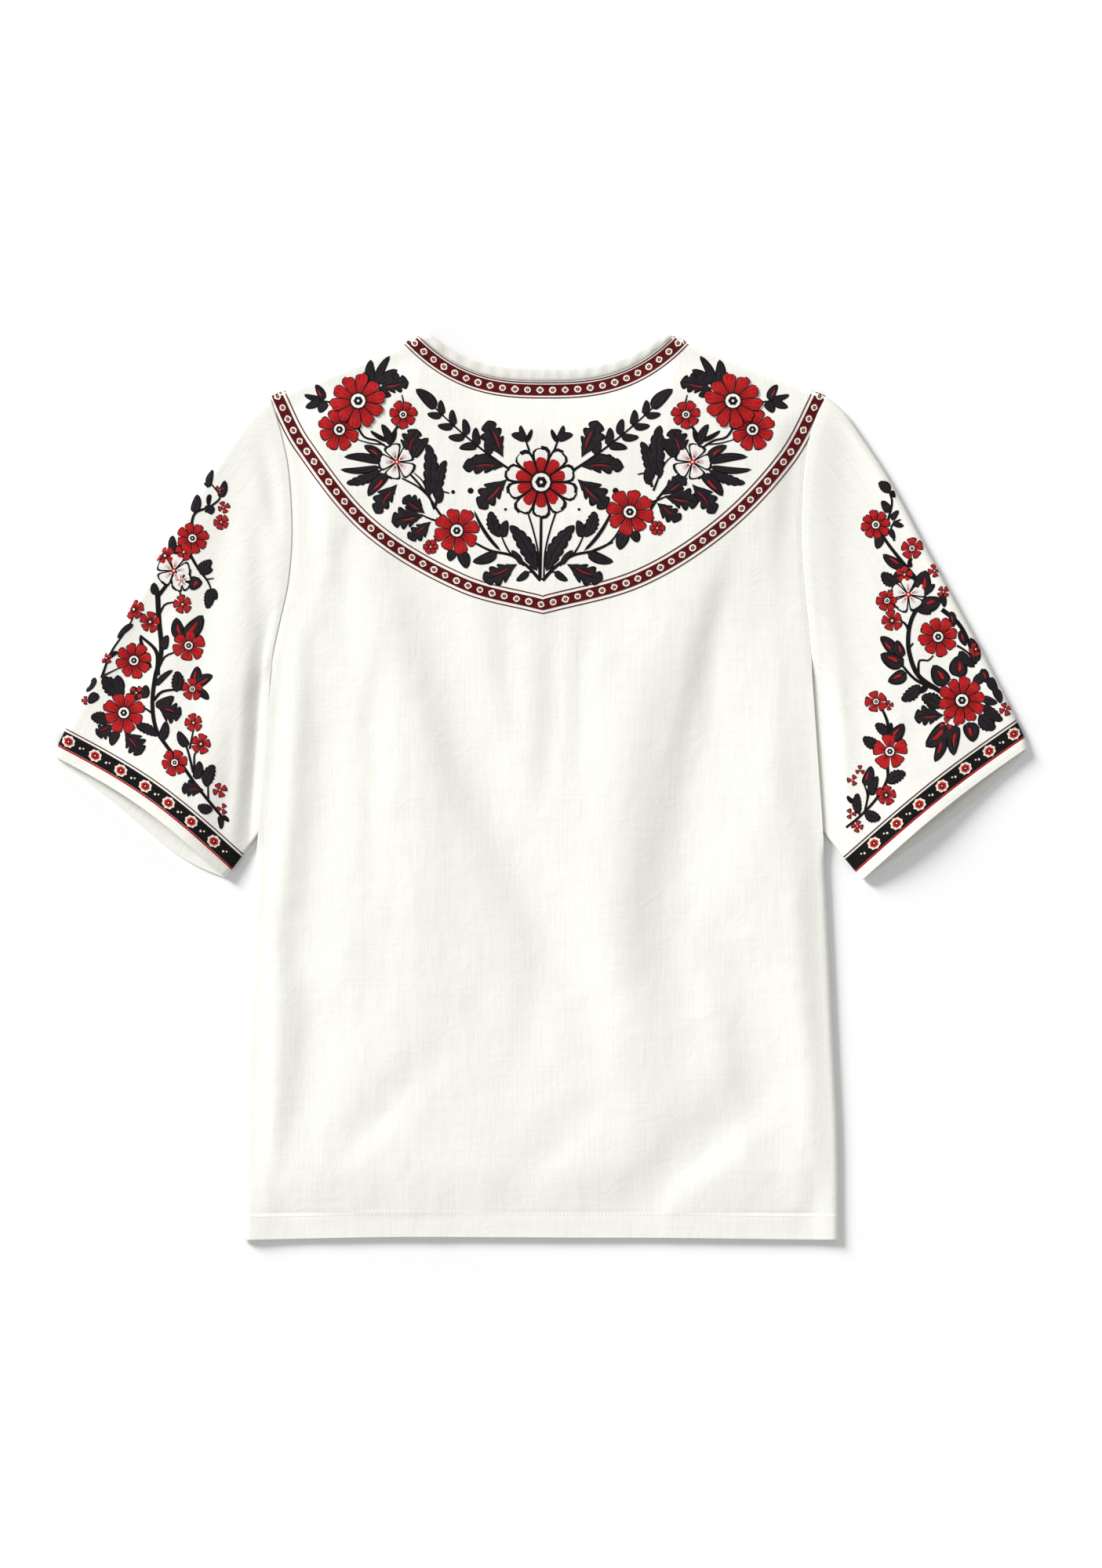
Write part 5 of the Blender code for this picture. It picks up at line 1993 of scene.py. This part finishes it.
@dataclass
class Blouse:
    """The whole blouse: its cloth, its seams and its embroidery."""

    outline: Outline = field(default_factory=Outline)
    cloth: Cloth = field(default_factory=Cloth)
    stitching: Stitching = field(default_factory=Stitching)
    under_lift: float = 0.14
    front_layer: float = 0.05
    sleeve_layer: float = 0.04
    yoke_points: tuple[int, int] = (75, 78)
    neck_points: tuple[int, int] = (72, 120)

    def __post_init__(self) -> None:
        """Makes the finishes and empty lists of what will be built."""
        self.lie = BodyLie(self.outline, self.cloth)
        self.linen = Linen("linen").material()
        self.trim = Linen("binding", (0.79, 0.778, 0.722), (0.73, 0.715, 0.657), 1100.0).material()
        self.thread = {thread: ThreadFinish(thread).material() for thread in Thread}
        self.trees: dict[str, BVHTree] = {}
        self.sheets: list[tuple[bpy.types.Object, Cut, float]] = []
        self.trims: dict[str, list[bpy.types.Object]] = {}

    def dress(self, piece: Piece, node: str, cut: Cut) -> None:
        """Makes a piece of cloth that stands for a node.

        Args:
            piece: its shaped surface.
            node: the node it replaces.
            cut: its thickness and flat size, and what it lies on.
        """
        self.trees[node] = piece.tree()
        area = float(sum(f.calc_area() for f in piece.mesh.faces))
        slot, material = ("binding", self.trim) if node.startswith("neck") else ("linen", self.linen)
        obj = piece.finish(material, wall=cut.thick, thin=cut.wall / cut.thick)
        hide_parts(node)
        self.sheets.append((obj, cut, area))
        LOG.info("%s: %.4f m2 of cloth", obj.name, area)

    def body(self) -> None:
        """Builds the front, then the back."""
        for level, cut in BODY_CUTS.items():
            panel = BodyPanel(self.outline, self.cloth, self.lie, level)
            if level is Level.FRONT:
                panel.neck_columns, panel.skirt_rows, panel.upper_rows = 40, 40, 60
            self.dress(panel.build(f"{level.value}_cloth"), level.value, cut)

    def bindings(self) -> None:
        """Builds the strips that bind the neck."""
        o = self.outline
        edges = {Level.BACK: (o.neck_edge, o.back_seam), Level.FRONT: (o.v_edge, o.front_seam)}
        for level, cut in BINDING_CUTS.items():
            strip = NeckBinding(self.cloth, self.lie, level, *edges[level])
            self.dress(strip.build(f"binding_{level.value}_cloth"), f"neck_binding_{level.value}", cut)

    def sleeves(self) -> None:
        """Builds both sleeves."""
        for row in SLEEVES:
            self.dress(SleeveTube(row, self.outline, self.cloth).build(), row.name, SLEEVE_CUT)

    def embroider_body(self) -> None:
        """Sews the yoke's and the neck's bands on back and front, and the flowers on the back."""
        o = self.outline
        left, right = self.yoke_points
        left_half = through(YOKE_LINE, np.linspace(0, 1, left))
        right_half = through(YOKE_LINE_RIGHT, np.linspace(0, 1, right))[1:]
        yoke_line = np.concatenate((left_half, right_half))
        back = Embroidery("yoke", Drape(self.trees["back"]))
        back.band(yoke_line, YOKE_BAND)
        back.band(self.neck_line(o.back_seam, self.neck_points[0]), NECK_BAND)
        for motif, rise in ((YOKE_FOOT, 0.0), (YOKE_WING, 15.0), (YOKE_SHOULDER, 0.0)):
            back.sew(motif)
            back.sew(motif, Mirror(rise=rise))
        back.sew(YOKE_MIDDLE)
        self.trims["back_cloth"] = back.finish(self.thread)
        drape = Drape(self.trees["front"], under=True)
        front = Embroidery("front", drape, self.under_lift, self.front_layer)
        front.band(yoke_line[::-1], YOKE_BAND)
        front.band(self.neck_line(o.front_seam, self.neck_points[1]), NECK_BAND)
        self.trims["front_cloth"] = front.finish(self.thread)

    def neck_line(self, seam: Curve, count: int) -> Array:
        """A line along a neck seam, run on a little past both shoulders.

        Args:
            seam: the seam, by share of the neck's width.
            count: how many points the line has.

        Returns:
            Plan points, evenly spaced.
        """
        line = np.column_stack(seam(np.sin(np.linspace(-np.pi / 2, np.pi / 2, 400))))
        before = line[0] + (line[0] - line[6]) * 40
        after = line[-1] + (line[-1] - line[-7]) * 40
        line = np.concatenate(([before], line, [after]))
        stops = lengths_along(line)
        return np.array([point_at(line, stops, stop) for stop in np.linspace(0, stops[-1], count)])

    def embroider_sleeves(self) -> None:
        """Sews flowers on the sleeves and stripes round their cuffs."""
        for row, motif in zip(SLEEVES, (LEFT_SLEEVE, RIGHT_SLEEVE)):
            over_cloth, under_cloth = (Drape(self.trees[row.name], under, True) for under in (False, True))
            over = Embroidery(row.name, over_cloth)
            under = Embroidery(f"{row.name}_under", under_cloth, self.under_lift, self.sleeve_layer)
            SleeveTube(row, self.outline, self.cloth).cuff_band(over, under)
            over.sew(motif)
            self.trims[f"{row.name}_cloth"] = over.finish(self.thread) + under.finish(self.thread)

    def stitch(self) -> None:
        """Sews the rows that hold the turned-up hem and the turned-up cuffs, on both layers."""
        hem = self.stitching.hem_line(self.outline)
        for level in Level:
            piece = Piece(f"hem_stitches_{level.value}")
            self.stitching.row(piece, hem, Drape(self.trees[level.value], level is Level.FRONT))
            self.trims[f"{level.value}_cloth"].append(self.sewn(piece))
        for row in SLEEVES:
            tube = SleeveTube(row, self.outline, self.cloth)
            piece = Piece(f"cuff_stitches_{row.name}")
            for upper in (True, False):
                line = self.stitching.cuff_line(tube, upper)
                self.stitching.row(piece, line, Drape(self.trees[row.name], not upper))
            self.trims[f"{row.name}_cloth"].append(self.sewn(piece))

    def sewn(self, piece: Piece) -> bpy.types.Object:
        """Makes a piece of plain sewing thread.

        Args:
            piece: its stitches.

        Returns:
            The new object.
        """
        obj = piece.finish(self.thread[Thread.CREAM])
        return obj


@dataclass
class Studio:
    """A plain pale floor, soft light and the camera above the blouse."""

    floor_size: float = 6.0
    camera_x: float = 0.0085
    camera_y: float = 0.0019
    camera_height: float = 3.2
    lens: float = 91.43
    light_power: float = 4.8
    light_spread: float = 20.0
    light_rise: float = 21.5
    light_azimuth: float = 141.0
    light_distance: float = 3.0
    sky: float = 0.52
    floor_tones: tuple[float, float] = (0.918, 0.926)

    def floor(self) -> None:
        """Lays the floor."""
        mesh = bmesh.new()
        bmesh.ops.create_grid(mesh, x_segments=1, y_segments=1, size=self.floor_size / 2)
        data = bpy.data.meshes.new("floor")
        mesh.to_mesh(data)
        mesh.free()
        g = Graph("floor")
        place = g.node("ShaderNodeTexCoord", {}, {}, "Object")
        cloudy = g.node("ShaderNodeTexNoise", {}, {"Vector": place, "Scale": 3.0, "Detail": 2.0})
        stops = [(stop, (tone, tone, tone)) for stop, tone in zip((0.3, 0.7), self.floor_tones)]
        colour = g.node("ShaderNodeValToRGB", {"stops": stops}, {"Fac": cloudy})
        data.materials.append(g.shade({"Base Color": colour, "Roughness": 0.9, "Specular IOR Level": 0.1}))
        add_object("floor", data)

    def light(self) -> None:
        """Adds one large soft light, far up to the left."""
        lamp = bpy.data.lights.new("window_light", "SUN")
        lamp.energy = self.light_power
        lamp.angle = math.radians(self.light_spread)
        rise, around = math.radians(self.light_rise), math.radians(self.light_azimuth)
        place = Vector((math.cos(rise) * math.cos(around), math.cos(rise) * math.sin(around), math.sin(rise)))
        obj = add_object("window_light", lamp)
        obj.location = place * self.light_distance
        obj.rotation_euler = (-place).to_track_quat("-Z", "Y").to_euler()

    def build(self) -> None:
        """Sets up floor, light, sky and camera."""
        scene = bpy.context.scene
        self.floor()
        self.light()
        world = bpy.data.worlds.new("studio")
        world.use_nodes = True
        sky = world.node_tree.nodes["Background"]
        sky.inputs["Color"].default_value = (1.0, 1.0, 1.0, 1.0)
        sky.inputs["Strength"].default_value = self.sky
        scene.world = world
        scene.view_settings.view_transform = "Standard"
        camera = bpy.data.cameras.new("camera")
        camera.lens = self.lens
        scene.camera = add_object("camera", camera)
        scene.camera.location = (self.camera_x, self.camera_y, self.camera_height)


def main() -> None:
    """Builds the blouse, then the studio round it."""
    logging.basicConfig(level=logging.INFO, format="%(name)s %(message)s")
    blouse = Blouse()
    blouse.body()
    blouse.bindings()
    blouse.sleeves()
    blouse.embroider_body()
    blouse.embroider_sleeves()
    blouse.stitch()
    Studio().build()


if __name__ == "__main__":
    main()
